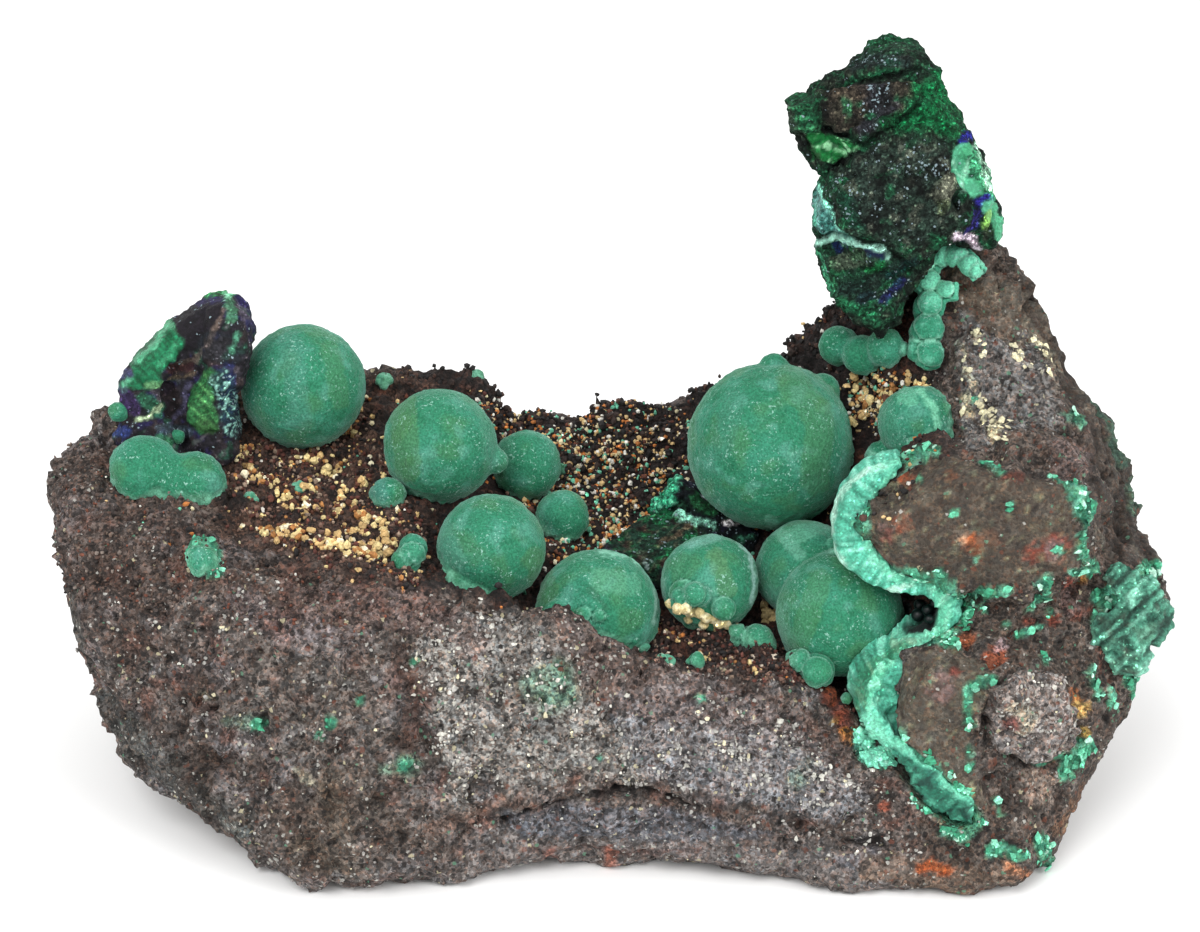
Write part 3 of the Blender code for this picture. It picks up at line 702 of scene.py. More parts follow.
# The shape: breaks, lumps and pits, and the step of the ledge along the front.
SLOPE = (
    1000, 285, 1030, 280, 1075, 335, 1110, 410, 1137, 520, 1165, 560, 1110, 570, 1092, 500, 1076, 462, 1062, 430,
    1050, 380, 1035, 330,
)
slope = view.zone(SLOPE, 6, 4)
SLOPE_ACROSS, SLOPE_DOWN = 0.403, 0.915
side = view.u * SLOPE_DOWN - view.v * SLOPE_ACROSS
down = view.u * SLOPE_ACROSS + view.v * SLOPE_DOWN
streaks = plane_noise(side / 8, down / 60, 15)
streaks = streaks + 0.6 * plane_noise(side / 4, down / 25, 16, z=9)
sideways = ramp(n[:, 0], 0.25, 0.75)
calm = np.clip(1 - 0.75 * lobes - 0.5 * foot - 0.5 * slope - 0.6 * sideways, 0, 1)
fine = (
    0.42 * fractal(p, 3.0, 3, 2) * calm
    + 0.22 * fractal(p, 1.1, 3, 3) * (1 - 0.4 * foot) * (1 - 0.5 * lobes) * (1 - 0.4 * slope)
)
fine += 0.14 * fractal(p, 0.8, 2, 6) * (1 - lobes) * (1 - 0.6 * slope)
rise = chips(p, 4.2, 0.4, 0.18, 1) * calm + chips(p, 9, 0.35, 0.08, 17) * calm * (1 - hollow) + fine
rise += 0.55 * streaks * slope
pits = blots(p, 2.4, 4, 4, 0.62, 0.95) * (1 - hollow) * (1 - foot) * (1 - lobes)
near_cell, number, _ = cells(p, 1.1, 5)
crumbs = ramp(near_cell, 0.6, 0.2)
small_pits = blots(p, 1.1, 2, 9, 0.55, 0.85) * (1 - hollow) * (1 - 0.8 * lobes)
rise += hollow * (0.55 * crumbs * (0.4 + number) - 0.25)
rise += (1 - hollow) * 0.16 * crumbs * (number < 0.5) * (1 - lobes) * (1 - slope) * (1 - 0.7 * sideways)
rise += (1 - hollow) * (0.22 * fractal(p, 1.7, 2, 13) - 0.3 * np.abs(fractal(p, 3.6, 3, 14))) * calm
rise -= 0.7 * pits + 0.45 * small_pits
broken = blots(p, 5, 2, 12, -0.35, 0.25)
ledge = view.line((440, 812, 490, 808, 540, 793, 590, 781, 640, 779, 690, 790, 740, 812), 11, 3, 6, 2) * broken
under_ledge = view.lines(
    ((505, 822, 540, 806, 590, 795, 640, 792, 664, 798, 692, 807), 6, 2, 4, 1),
    ((846, 842, 868, 846, 884, 843), 5, 2, 4, 1),
)
rise += 0.45 * ledge - 0.9 * under_ledge
gully = view.line((418, 640, 410, 700, 425, 760), 18, 8, 8, 2)
crest = view.line((438, 640, 430, 700, 448, 760), 16, 8, 8, 2)
rise += 0.5 * crest - 0.6 * gully
skyline = ramp(np.abs(p[:, 1] - along_line(BACK_RIM_LINE, p[:, 0])), 4.5, 1.5) * ramp(n[:, 2], 0.1, 0.5)
rise += skyline * (0.8 * fractal(p, 2.4, 3, 35) + 0.4 * fractal(p, 0.9, 2, 39) - 0.25)
rise += 1.3 * view.spot(470, 383, 17, 10, 7) + 0.9 * view.spot(405, 384, 9, 6, 5)
# How far the right side stands out from the solid, by its height in the picture.
RIGHT_SIDE = [
    (280, 0), (300, -0.6), (326, -0.3), (346, 0), (370, 0.3), (392, 0.6), (430, 2.1), (458, 1.5), (491, 0.7),
    (524, -0.8), (560, 0),
]
outwards = along_line(RIGHT_SIDE, view.v)
rise += outwards * ramp(n[:, 0], 0.1, 0.6) * ramp(p[:, 0], 33, 37)
knob_edge = view.line(KNOB + KNOB[:2], 9, 4, 4, 1.5)
rise += 1.1 * knob - 1.1 * knob_edge * (1 - knob)
rise += 0.9 * view.line((968, 264, 985, 284, 1002, 308, 1020, 342), 5, 4, 2) * wall
rise -= 0.5 * view.line((955, 275, 975, 300, 992, 335), 10, 8, 3) * wall
rise += 0.5 * view.line((1000, 283, 1024, 312, 1040, 350, 1052, 400), 5, 4, 3) * wall
rise *= ramp(by_crust, 0.2, 1.4)
rise += skin * (0.25 + 0.45 * fractal(p, 0.8, 3, 38)) * ramp(by_crust, 0.3, 1.1)
along, across = along_path(p, CRUST_PATH)
level_up = np.clip(crust_face(along) + 0.15 - p[:, 1], -1.6, 0.8) * ramp(np.abs(across), 6, 2) * lobes
moved = p + n * rise[:, None]
moved[:, 1] += level_up
by_rim = ramp(np.abs(p[:, 1] - along_line(FRONT_RIM_LINE, p[:, 0])), 4, 1) * ramp(p[:, 2], 12, 17)
moved[:, 2] += 1.3 * by_rim * ramp(np.abs(p[:, 0] + 1.5), 7, 2.5)
put_points(rock, kept_inside(moved))

# Its colours: first the broad ones, then each place by its points of the picture.
coat = Coat(view, 101, 92, 87)
coat.mottle(6, 4, 41, -0.1, 0.6, 0.75, 80, 66, 58)
coat.mottle(5, 4, 42, 0.1, 0.6, 0.7, 126, 120, 120)
coat.mottle(3.2, 4, 43, 0.25, 0.7, 0.65, 112, 76, 64)
coat.mottle(2.2, 3, 44, 0.3, 0.7, 0.6, 52, 46, 44)
coat.lay(light * 0.75, 150, 147, 142)
coat.lay(foot * 0.65, 132, 127, 125)
coat.lay(wall * 0.8, 90, 80, 72)
# Darker where the fine relief sinks, as painted shade, and paler where it rises, as painted highlight.
coat.lay(ramp(fine, -0.05, -0.5) * (1 - lobes) * 0.75, 44, 38, 36)
coat.lay(ramp(fine, 0.1, 0.6) * (1 - lobes) * 0.4, 146, 140, 134)
coat.lay(slope * ramp(streaks, 0.2, 0.6) * 0.8, 134, 128, 114)
coat.lay(slope * ramp(streaks, 0.0, -0.4) * 0.9, 46, 38, 33)
inside = Coat(view, 56, 38, 32)
inside.lay(ramp(p[:, 0], -14, -24), 84, 64, 54)
inside.mottle(3, 3, 51, -0.1, 0.5, 0.8, 32, 27, 26)
inside.mottle(2.2, 3, 52, 0.25, 0.7, 0.6, 92, 56, 42)
back_wall = view.zone((400, 395, 520, 385, 640, 400, 760, 370, 860, 290, 860, 440, 700, 560, 480, 470), 10, 10, 2)
inside.lay(back_wall * 0.7, 27, 23, 23)
left_rim = view.zone(
    (20, 430, 150, 470, 200, 510, 235, 540, 300, 560, 400, 585, 445, 610, 440, 700, 20, 700), 10, 14, 3
)
coat.blend(hollow * (1 - 0.85 * left_rim), inside.colours)
ROCK_STROKES = [
    (0, 0.45, (76, 60, 53), 45, 440, 110, 440, 190, 500, 180, 600, 130, 680, 80, 640, 55, 540),
    (0, 0.7, (148, 147, 149), 600, 700, 700, 670, 800, 720, 870, 800, 840, 825, 760, 805, 640, 775),
    (0, 0.7, (100, 103, 110), 500, 812, 600, 803, 700, 812, 770, 836, 700, 842, 520, 838),
    (15, 0.75, (104, 50, 38), 796, 668, 818, 682, 836, 698, 848, 724), (6, 0.9, (214, 142, 58), 846, 732),
    (4, 0.8, (190, 150, 76), 838, 718), (5, 0.7, (154, 76, 44), 826, 690, 836, 700),
    (8, 0.5, (104, 56, 42), 770, 655, 790, 662),
    (0, 0.6, (96, 96, 104), 832, 858, 870, 850, 895, 858, 880, 870, 840, 868),
    (3, 0.7, (48, 38, 32), 880, 873, 915, 878, 950, 876), (4, 0.8, (34, 32, 34), 852, 844, 870, 838, 890, 838),
    (6, 0.85, (32, 26, 26), 956, 826, 972, 821, 986, 829, 974, 836),
    (3, 0.5, (70, 56, 46), 880, 862, 930, 856, 990, 868, 1018, 880),
    (4, 0.5, (146, 122, 100), 860, 878, 920, 886, 980, 892),
    (30, 0.5, (66, 64, 64), 100, 700, 130, 740, 170, 780, 220, 810),
    (40, 0.4, (120, 96, 90), 300, 600, 420, 612, 470, 640),
    (0, 0.6, (112, 96, 90), 545, 608, 640, 650, 760, 690, 860, 740, 845, 775, 760, 730, 640, 720, 575, 690),
    (0, 0.3, (92, 80, 66), 355, 750, 385, 800, 425, 845, 360, 890, 295, 850, 310, 800),
    (18, 0.55, (76, 56, 48), 400, 650, 415, 700, 405, 760),
    (14, 0.5, (154, 150, 144), 445, 650, 440, 700, 450, 750),
    (30, 0.35, (130, 116, 116), 240, 600, 300, 640, 360, 640),
    (24, 0.5, (76, 80, 76), 70, 600, 85, 680, 130, 740, 190, 790, 250, 820),
    (26, 0.35, (98, 84, 64), 330, 780, 350, 870, 300, 850),
    (12, 0.4, (104, 74, 58), 430, 830, 500, 800, 540, 808), (12, 0.5, (112, 124, 120), 225, 820, 250, 830),
    (8, 0.5, (206, 198, 168), 296, 770, 312, 782), (5, 0.5, (84, 48, 38), 530, 850, 620, 852, 700, 850),
    (0, 0.6, (124, 104, 88), 860, 850, 1000, 870, 1020, 885, 940, 890, 860, 875),
    (0, 0.3, (88, 80, 74), 150, 740, 260, 790, 380, 800, 460, 850, 360, 880, 240, 860),
    (0, 0.35, (118, 112, 106), 260, 640, 380, 640, 400, 720, 390, 790, 300, 780, 240, 720),
    (0, 0.8, (124, 122, 120), 955, 310, 1040, 320, 1050, 440, 965, 445),
    (0, 0.75, (118, 106, 92), 948, 262, 975, 262, 1010, 300, 1030, 350, 990, 335, 960, 300),
    (0, 0.6, (124, 116, 104), 975, 262, 1030, 285, 1040, 330, 1020, 330, 1000, 295),
    (5, 0.5, (62, 48, 42), 948, 300, 960, 330, 970, 360),
    # The next two strokes: a pale line along the ridge of the tip, a painted highlight, and a darker strip left of
    # it, painted shade.
    (4, 0.7, (158, 142, 126), 968, 264, 985, 284, 1002, 308, 1020, 342),
    (12, 0.5, (78, 62, 48), 958, 282, 975, 305, 990, 332),
    (4, 0.6, (136, 124, 108), 1000, 283, 1024, 312, 1040, 350, 1050, 395), (8, 0.9, (222, 214, 176), 996, 430),
    (7, 0.85, (214, 206, 168), 964, 397, 968, 412), (6, 0.7, (208, 202, 176), 966, 372, 974, 386),
    (5, 0.7, (214, 208, 178), 975, 336, 980, 346), (4, 0.6, (204, 198, 170), 960, 343, 966, 354),
    (4, 0.7, (210, 204, 174), 986, 412, 992, 420), (6, 0.65, (206, 202, 170), 1034, 340, 1042, 356, 1048, 374),
    (4, 0.5, (190, 186, 170), 1016, 352, 1024, 362), (45, 0.6, (74, 66, 58), 1040, 300, 1090, 400, 1125, 500),
    (9, 0.7, (74, 118, 96), 1050, 310, 1072, 345, 1090, 375, 1106, 410, 1118, 450, 1134, 510),
    (10, 0.6, (66, 112, 92), 1085, 400, 1098, 440, 1112, 470),
    (8, 0.6, (150, 142, 124), 1032, 318, 1044, 340, 1062, 372),
    (16, 0.6, (58, 52, 46), 1040, 350, 1058, 385, 1064, 410),
    (16, 0.7, (50, 44, 40), 1118, 500, 1134, 530, 1150, 556), (8, 0.5, (84, 150, 124), 1052, 425, 1066, 432),
    (7, 0.4, (84, 66, 56), 955, 330, 985, 345, 1000, 375),
    (0, 0.7, (116, 100, 96), 1046, 452, 1082, 455, 1086, 480, 1060, 485), (0, 0.9, (86, 77, 67), *UPPER_LOBE),
    (0, 0.9, (100, 92, 81), *LOWER_LOBE), (0, 0.85, (146, 137, 132), *KNOB),
    (14, 0.4, (200, 196, 168), 1010, 702, 1030, 715, 1020, 725),
    (0, 0.8, (148, 132, 120), 1022, 772, 1053, 770, 1055, 802, 1030, 806),
    (5, 0.8, (44, 34, 30), 1018, 768, 1040, 765, 1056, 768),
    (5, 0.6, (44, 36, 32), 1014, 775, 1018, 800, 1030, 812),
    (0, 0.5, (124, 96, 92), 1090, 575, 1075, 600, 1090, 615, 1064, 618, 1060, 590),
    (4, 0.7, (112, 62, 48), 1127, 584, 1098, 606, 1064, 622), (4, 0.6, (112, 62, 48), 1096, 631, 1100, 671),
    (8, 0.85, (160, 84, 52), 906, 482), (6, 0.5, (150, 92, 60), 950, 476), (9, 0.8, (150, 80, 54), 903, 526),
    (8, 0.7, (150, 92, 82), 890, 540), (5, 0.6, (166, 128, 120), 882, 530),
    (10, 0.85, (172, 96, 52), 973, 545), (4, 0.8, (224, 176, 140), 964, 541),
    (9, 0.5, (130, 76, 52), 990, 540), (8, 0.8, (148, 70, 52), 1031, 554), (15, 0.8, (142, 74, 60), 1055, 548),
    (10, 0.9, (150, 124, 122), 1054, 549), (4, 0.9, (96, 200, 160), 1060, 550),
    (6, 0.8, (146, 68, 50), 1067, 582), (6, 0.85, (214, 160, 84), 1082, 577),
    (6, 0.8, (148, 72, 54), 1050, 620), (4, 0.7, (148, 72, 54), 1026, 621), (8, 0.85, (158, 86, 54), 968, 632),
    (10, 0.85, (156, 82, 52), 997, 655), (6, 0.7, (150, 132, 136), 1001, 642),
    (15, 0.75, (132, 106, 102), 942, 690), (5, 0.7, (150, 66, 56), 955, 675),
    (4, 0.7, (170, 150, 140), 940, 672), (8, 0.7, (132, 66, 62), 1012, 720),
    (7, 0.8, (190, 112, 56), 1072, 695), (8, 0.85, (224, 184, 110), 1078, 707),
    (4, 0.8, (220, 180, 90), 1082, 732), (8, 0.85, (164, 106, 52), 853, 735),
    (6, 0.6, (150, 70, 44), 843, 712), (6, 0.8, (216, 210, 156), 970, 789), (6, 0.5, (110, 60, 40), 990, 765),
    (11, 0.9, (186, 96, 46), 920, 868, 932, 864, 946, 870), (10, 0.7, (186, 128, 92), 1008, 866, 1032, 878),
    (8, 0.5, (170, 90, 60), 610, 855), (6, 0.4, (170, 90, 60), 550, 857),
    (5, 0.7, (112, 56, 42), 1004, 478, 1022, 480), (14, 0.5, (136, 96, 66), 1085, 790, 1060, 830),
    (6, 0.5, (186, 96, 66), 885, 808),
]
coat.strokes(ROCK_STROKES)
coat.mottle(1.5, 3, 45, 0.05, 0.5, lobes * 0.6, 62, 53, 46)
coat.mottle(1.9, 3, 46, 0.15, 0.6, lobes * 0.5, 112, 102, 86)
coat.mottle(0.8, 2, 47, 0.45, 0.7, lobes * 0.6, 150, 150, 120)
# Darker in the pits: painted shade.
coat.lay(np.clip(pits + small_pits, 0, 1) * 0.7, 36, 30, 28)
# The shadow under the ledge: painted shade.
coat.lay(under_ledge * 0.85, 28, 23, 23)
# Darker in the groove round the knob: painted shade.
coat.lay(knob_edge * (1 - knob) * 0.8, 38, 29, 26)
mint = Coat(view, 74, 156, 122)
mint.mottle(1.1, 3, 95, 0.05, 0.5, 1, 128, 214, 178)
mint.mottle(0.8, 2, 96, 0.15, 0.6, 1, 36, 104, 80)
coat.blend(np.clip(skin * 1.1 + faint, 0, 1), mint.colours)
coat.lay(ramp(by_crust + 0.4 * fractal(p, 1.0, 2, 98), 0.9, 0.4) * wall * 0.8, 84, 166, 132)
coat.strokes([
    (17, 1.0, (118, 212, 182), 860, 738, 868, 752, 884, 756), (5, 0.5, (140, 214, 188), 900, 470, 918, 458),
])
# Where the material paints its glints and its cream specks.
sparkle = front * (0.45 + 0.6 * light + 0.5 * blots(p, 7, 2, 97, 0, 0.6)) + 0.25 * wall + 0.6 * knob
sparkle += view.zone((955, 310, 1040, 320, 1050, 440, 965, 445), 8, 8) * 0.4 - 0.4 * slope
sparkle = np.clip(sparkle + 0.3 * foot, 0, 1) * (1 - skin) * (1 - 0.4 * base) * (1 - 0.8 * lobes)
tip = view.zone((945, 258, 975, 250, 1030, 280, 1045, 345, 1000, 335, 965, 325), 6, 6, 2)
smooth = np.clip(lobes + 0.4 * foot + skin + 0.8 * tip + 0.7 * slope, 0, 1)
rust = np.clip(wall + 0.35 * front, 0, 1) * (1 - skin) * (1 - 0.5 * lobes) * (1 - 0.7 * slope)
dressed("rock", rock, coat, rock_material(), "matrix", ["matrix"], sparkle=sparkle, smooth=smooth, rust=rust)
rock_tree = tree_of(rock)
rock_points, rock_normals, rock_hollow = moved, n, hollow


# ---------------------------------------------------------------- the balls

# Each ball is one or more spheres grown together, as x, y, z and radius: the same as in the solids.
BALLS = {
    "ball_upper_left": [(-30.1, 10, 35.9, 6.2)],
    "ball_left": [(-16.2, 2.5, 32.8, 5.6), (-10.8, 2, 31.4, 1.3)],
    "ball_behind": [(-8, 9.5, 27.6, 3.5)],
    "ball_low_left": [(-4.3, 4, 24.4, 2.7)],
    "ball_front": [(-11, -8, 26.7, 5.2), (-14.2, -10.8, 24.6, 1.8), (-12.8, -11.8, 23.9, 1.5)],
    "ball_rim": [(-0.8, -10, 20.9, 6), (-4.6, -14.2, 22.8, 1.4), (-2.2, -15.2, 22.2, 1.2)],
    "ball_large": [(16.2, 4, 32.1, 8.2), (21.3, 6.5, 36.8, 1.8), (16.4, 6.5, 39.3, 1.5)],
    "ball_centre": [
        (10, -8, 22.9, 4.7), (7.2, -12.4, 23, 1.1), (8.8, -12.7, 23.9, 1.2), (11.1, -12.3, 22.4, 1.1)
    ],
    "balls_right": [(22.4, -11, 21.1, 6.1), (19.4, -4.6, 22.7, 4.9)],
    "ball_wall": [(30.4, 2, 35.2, 3.9), (26.8, 1.8, 31.8, 1.6)],
    "balls_left_end": [(-44.5, -3.4, 32.8, 3.4), (-42, -3.8, 31.9, 2.7), (-39.7, -3.5, 31.5, 3)],
    "ball_small_left": [(-21.2, -1.8, 29.4, 1.8)],
    "balls_small_front": [(-18.4, -10.6, 27.9, 1.4), (-18.8, -12, 27, 1.2)],
    "ball_left_slope": [(-38, -14.8, 28.6, 1.5)],
    "balls_hollow_right": [(23, 10.2, 40.2, 2), (25.2, 7.8, 40.2, 2), (27.3, 6.3, 41.6, 1.9)],
    "balls_rim_middle": [(14.3, -12, 18.5, 1.7), (12.8, -12.2, 19, 1.1)],
    "balls_rim_right": [(20, -16.8, 18, 1.7), (18.2, -16.2, 18.5, 1.3)],
}
# Colours put on them: bluish and olive bands; the thin pale lines along the balls' edges are painted sheen, and
# the bright mint strokes on the ball by the wall are painted highlights.
BALL_STROKES = [
    (20, 0.55, (78, 134, 124), 372, 392, 368, 440, 378, 495), (26, 0.5, (75, 119, 74), 402, 400, 408, 470),
    (14, 0.35, (114, 171, 149), 640, 540, 660, 585), (3, 0.7, (150, 196, 180), 650, 566, 656, 590, 655, 622),
    (4, 0.8, (160, 200, 192), 738, 540, 750, 558, 755, 580, 752, 604),
    (8, 0.4, (122, 173, 161), 690, 545, 720, 535), (22, 0.35, (68, 124, 105), 735, 400, 720, 450),
    (30, 0.35, (75, 120, 76), 790, 380, 820, 420, 815, 480), (24, 0.35, (78, 134, 119), 290, 340, 300, 420),
    (20, 0.3, (78, 126, 78), 330, 350, 340, 400), (26, 0.45, (75, 117, 74), 535, 560, 545, 590),
    (20, 0.3, (98, 154, 136), 440, 520, 455, 560), (4, 0.6, (140, 206, 180), 600, 552, 630, 557, 648, 568),
    (12, 0.4, (120, 184, 160), 770, 520, 790, 545, 800, 555), (24, 0.4, (92, 158, 128), 630, 585, 600, 580),
    (16, 0.4, (112, 180, 152), 795, 535, 812, 530, 826, 524),
    (6, 0.5, (140, 206, 180), 868, 424, 866, 450, 882, 462), (11, 0.45, (112, 190, 156), 908, 396),
    (7, 0.6, (128, 206, 170), 922, 392, 934, 410, 938, 428), (4, 0.6, (150, 200, 176), 896, 388, 908, 381),
    (8, 0.6, (120, 200, 166), 912, 440, 905, 455, 915, 462), (24, 0.4, (70, 119, 71), 820, 580, 800, 640),
    (12, 0.4, (90, 151, 127), 770, 590, 785, 640), (7, 0.5, (49, 92, 71), 590, 590, 605, 606),
    (18, 0.4, (90, 126, 85), 715, 555, 728, 590), (30, 0.2, (90, 142, 119), 490, 380, 500, 470),
    (20, 0.4, (78, 142, 119), 880, 405, 895, 440),
]
velvet = velvet_material()


def sphere_mesh(x, y, z, radius, level=4):
    shape = bmesh.new()
    bmesh.ops.create_icosphere(shape, subdivisions=level, radius=radius * MM)
    bmesh.ops.translate(shape, vec=Vector((x, y, z)) * MM, verts=shape.verts)
    made = bpy.data.meshes.new("sphere")
    shape.to_mesh(made)
    shape.free()
    return made


# Small balls grown on the others, as they show: a point of the picture and the radius there.
DISCS = [
    (683, 592, 13), (694, 594, 12), (723, 608, 12), (584, 614, 8), (599, 616, 7), (738, 632, 8),
    (758, 641, 17), (800, 661, 11), (817, 671, 15), (662, 662, 8), (697, 660, 7), (912, 350, 12),
    (929, 326, 15), (931, 353, 14), (930, 303, 13), (929, 280, 11), (946, 289, 9), (925, 262, 10),
    (943, 254, 12), (957, 256, 12), (968, 266, 11), (978, 271, 8), (482, 598, 10), (496, 608, 9),
    (398, 561, 13), (413, 553, 12), (835, 545, 9),
]


def discs(view):
    """How far each place rises in the middle of the nearest disc, its pale rim, where sheen is painted, and the
    seam round it, which the callers darken as painted shade.
    """
    dome, rim_sheen, seams = (np.zeros(len(view.u)) for _ in range(3))
    for u, v, radius in DISCS:
        away = np.hypot(view.u - u, view.v - v) + 0.9 * smooth_noise(view.p, 1.1, 115)
        over = away < radius
        here = view.shown * over
        dome = np.where(over, np.sqrt(np.clip(1 - (away / radius) ** 2, 0, 1)) * here, dome)
        rim_sheen = np.where(over, ramp(away, radius - 3.2, radius - 1.2) * here, rim_sheen)
        seams = np.where(over, 0, seams) + ramp(away, radius + 2.4, radius) * (1 - over) * view.shown
    return dome, rim_sheen, np.clip(seams, 0, 1)


def velvet_ball(name, spheres, slot, nodes, voxel=0.3):
    """Balls grown together, with slow waves and a fine pile."""
    mesh = remeshed(merged([sphere_mesh(*s) for s in spheres]), voxel)
    relaxed(mesh, 2)
    p, n = points_of(mesh), normals_of(mesh)
    largest = max(radius for x, y, z, radius in spheres)
    rise = 0.022 * largest * fractal(p, 1.5 * largest, 2, 101)
    for height, size, seed in ((0.10, 2.4, 102), (0.07, 0.8, 103), (0.06, 0.42, 104)):
        rise += height * smooth_noise(p, size, seed)
    foot = distances(rock_tree, p)
    rise += ramp(foot, 1.3, 0.2) * 0.3 * smooth_noise(p, 0.7, 105)
    view = View(p, n)
    dome, rim_sheen, seams = discs(view)
    rise += 0.5 * dome - 0.16 * seams
    put_points(mesh, kept_inside(p + n * rise[:, None]))
    coat = Coat(view, 44, 118, 88)
    coat.mottle(4.5, 2, 107, -0.2, 0.6, 1, 54, 128, 102)
    coat.mottle(3, 2, 108, 0.1, 0.7, 0.55, 66, 118, 78)
    coat.mottle(1.6, 2, 109, 0.2, 0.8, 0.45, 30, 100, 70)
    coat.mottle(2.2, 2, 110, 0.25, 0.8, 0.45, 92, 156, 138)
    coat.strokes(BALL_STROKES)
    coat.lay(ramp(foot + 0.35 * smooth_noise(p, 0.8, 106), 0.9, 0.1) * 0.7, 112, 174, 146)
    coat.lay(dome * 0.35, 62, 140, 104)
    # Painted shade in the seams round the small balls, and painted sheen on their rims.
    coat.lay(seams * 0.5, 26, 84, 62)
    coat.lay(rim_sheen * (0.2 + 0.4 * blots(p, 1.2, 2, 111, -0.2, 0.3)), 128, 196, 168)
    dressed(name, mesh, coat, velvet, slot, nodes)


for node, spheres in BALLS.items():
    velvet_ball(node + "_velvet", spheres, node, [node], 0.3 if min(s[3] for s in spheres) > 1.6 else 0.24)

# Balls too small to be solids of their own: a point of the picture, and the radius.
SMALL_BALLS = [
    (300, 491, 0.8), (250, 502, 0.75), (122, 412, 1.0), (176, 437, 0.75), (385, 383, 0.9), (477, 381, 0.8),
    (667, 664, 0.75), (694, 662, 0.65), (645, 650, 0.5), (475, 578, 0.9), (846, 700, 0.6), (560, 470, 0.6),
    (905, 460, 0.5),
]
hidden_behind = tree_of(cad_mesh("matrix", "crystals_left"))
small = []
for u, v, radius in SMALL_BALLS:
    place, direction = seat(u, v, hidden_behind)
    small.append((*(place + direction * radius * 0.35), radius))
velvet_ball("small_balls", small, "matrix", [], 0.16)


# ---------------------------------------------------------------- the crust and the chain

def detailed(voxel, rounds, *names):
    """A fine mesh over solids, with its points, their directions and how they show in the picture."""
    mesh = remeshed(cad_mesh(*names), voxel)
    relaxed(mesh, rounds)
    p, n = points_of(mesh), normals_of(mesh)
    return mesh, p, n, View(p, n)


mesh, p, n, view = detailed(0.25, 1, "crust")
along, across = along_path(p, CRUST_PATH)
fibres = plane_noise(along, across * 0.12, 120, 0.42)
broad = plane_noise(along, across * 0.3, 121, 1.3)
lower = ramp(along, 26, 29)
inner_edge = view.lines(
    ((893, 474, 880, 492, 872, 511, 866, 534, 874, 556, 893, 574, 915, 580, 934, 584), 9, 2, 4),
    ((936, 586, 944, 600, 940, 620, 925, 636, 905, 645), 14, 2, 5),
    ((925, 640, 900, 650, 882, 668, 872, 690, 868, 715, 874, 738), 10, 2, 5),
)
crest = view.line((868, 715, 884, 738, 905, 747, 934, 765, 944, 784, 964, 801, 984, 818), 8, 2, 3)
rise = 0.2 + 0.09 * fibres + 0.1 * broad + 0.1 * fractal(p, 1.5, 2, 122) - 0.5 * ramp(along, 3.5, 0)
rise += inner_edge * (0.1 + 0.5 * fractal(p, 0.8, 2, 125))
rise += (0.3 * fractal(p, 1.4, 3, 123) - 0.1) * ramp(along, 12, 16) * (1 - 0.5 * lower)
rise += lower * (0.35 * fractal(p, 1.6, 3, 126) + 0.4 * crest - 0.3 * (1 - crest))
moved = p + n * rise[:, None]
moved[:, 2] -= 1.3 * view.zone(
    (888, 596, 905, 600, 935, 600, 952, 630, 930, 655, 895, 655, 872, 648, 880, 620), 8, 1
)
# The lower strip of the crust, from where it starts in the picture and along its way down to the right.
STRIP_U, STRIP_V, STRIP_RIGHT, STRIP_DOWN = 885, 740, 0.72, 0.694
STRIP_WIDTHS = [(0, 9), (20, 7), (50, 13), (85, 20), (105, 15), (122, 1)]
SOLID_WIDTH = 15
down_strip = (view.u - STRIP_U) * STRIP_RIGHT + (view.v - STRIP_V) * STRIP_DOWN
beside = (view.v - STRIP_V) * STRIP_RIGHT - (view.u - STRIP_U) * STRIP_DOWN
strip = ramp(down_strip, -4, 14) * ramp(along, 30, 33)
wanted = along_line(STRIP_WIDTHS, down_strip) / SOLID_WIDTH
wanted = wanted * (1 + 0.6 * fractal(p, 1.3, 3, 136)) - 1
moved[:, 0] -= strip * beside * wanted * STRIP_DOWN / POINTS_PER_MM
moved[:, 2] -= strip * beside * wanted * STRIP_RIGHT / POINTS_PER_MM
moved[:, 1] += strip * 0.5 * blots(p, 1.8, 2, 137, 0.1, 0.6)
put_points(mesh, kept_inside(moved))
coat = Coat(view, 82, 176, 148)
coat.lay(ramp(fibres, 0.0, 0.5) * 0.9, 134, 216, 190)
coat.lay(ramp(fibres, 0.0, -0.5) * 0.8, 36, 116, 92)
coat.lay(ramp(broad, 0.1, 0.5) * 0.5, 54, 140, 116)
coat.mottle(1.2, 3, 127, 0.2, 0.7, 0.5, 44, 124, 98)
fan = view.zone((853, 715, 856, 685, 870, 655, 895, 630, 915, 630, 905, 650, 885, 670, 872, 690, 866, 715), 4, 4)
coat.lay(fan * 0.9, 44, 118, 86)
coat.lay(fan * ramp(fibres, 0.0, 0.5) * 0.7, 112, 168, 132)
coat.lay(view.line((846, 720, 852, 690, 866, 655), 10, 3, 4) * 0.7, 24, 92, 64)
below = view.zone(
    (880, 745, 905, 752, 930, 770, 944, 790, 962, 806, 984, 822, 960, 835, 935, 828, 910, 800, 892, 770), 2, 3
)
coat.lay(below * 0.9, 40, 116, 94)
coat.mottle(1.6, 3, 128, 0.0, 0.5, below * 0.8, 26, 82, 70)
coat.mottle(1.1, 3, 129, 0.2, 0.6, below * 0.8, 86, 172, 142)
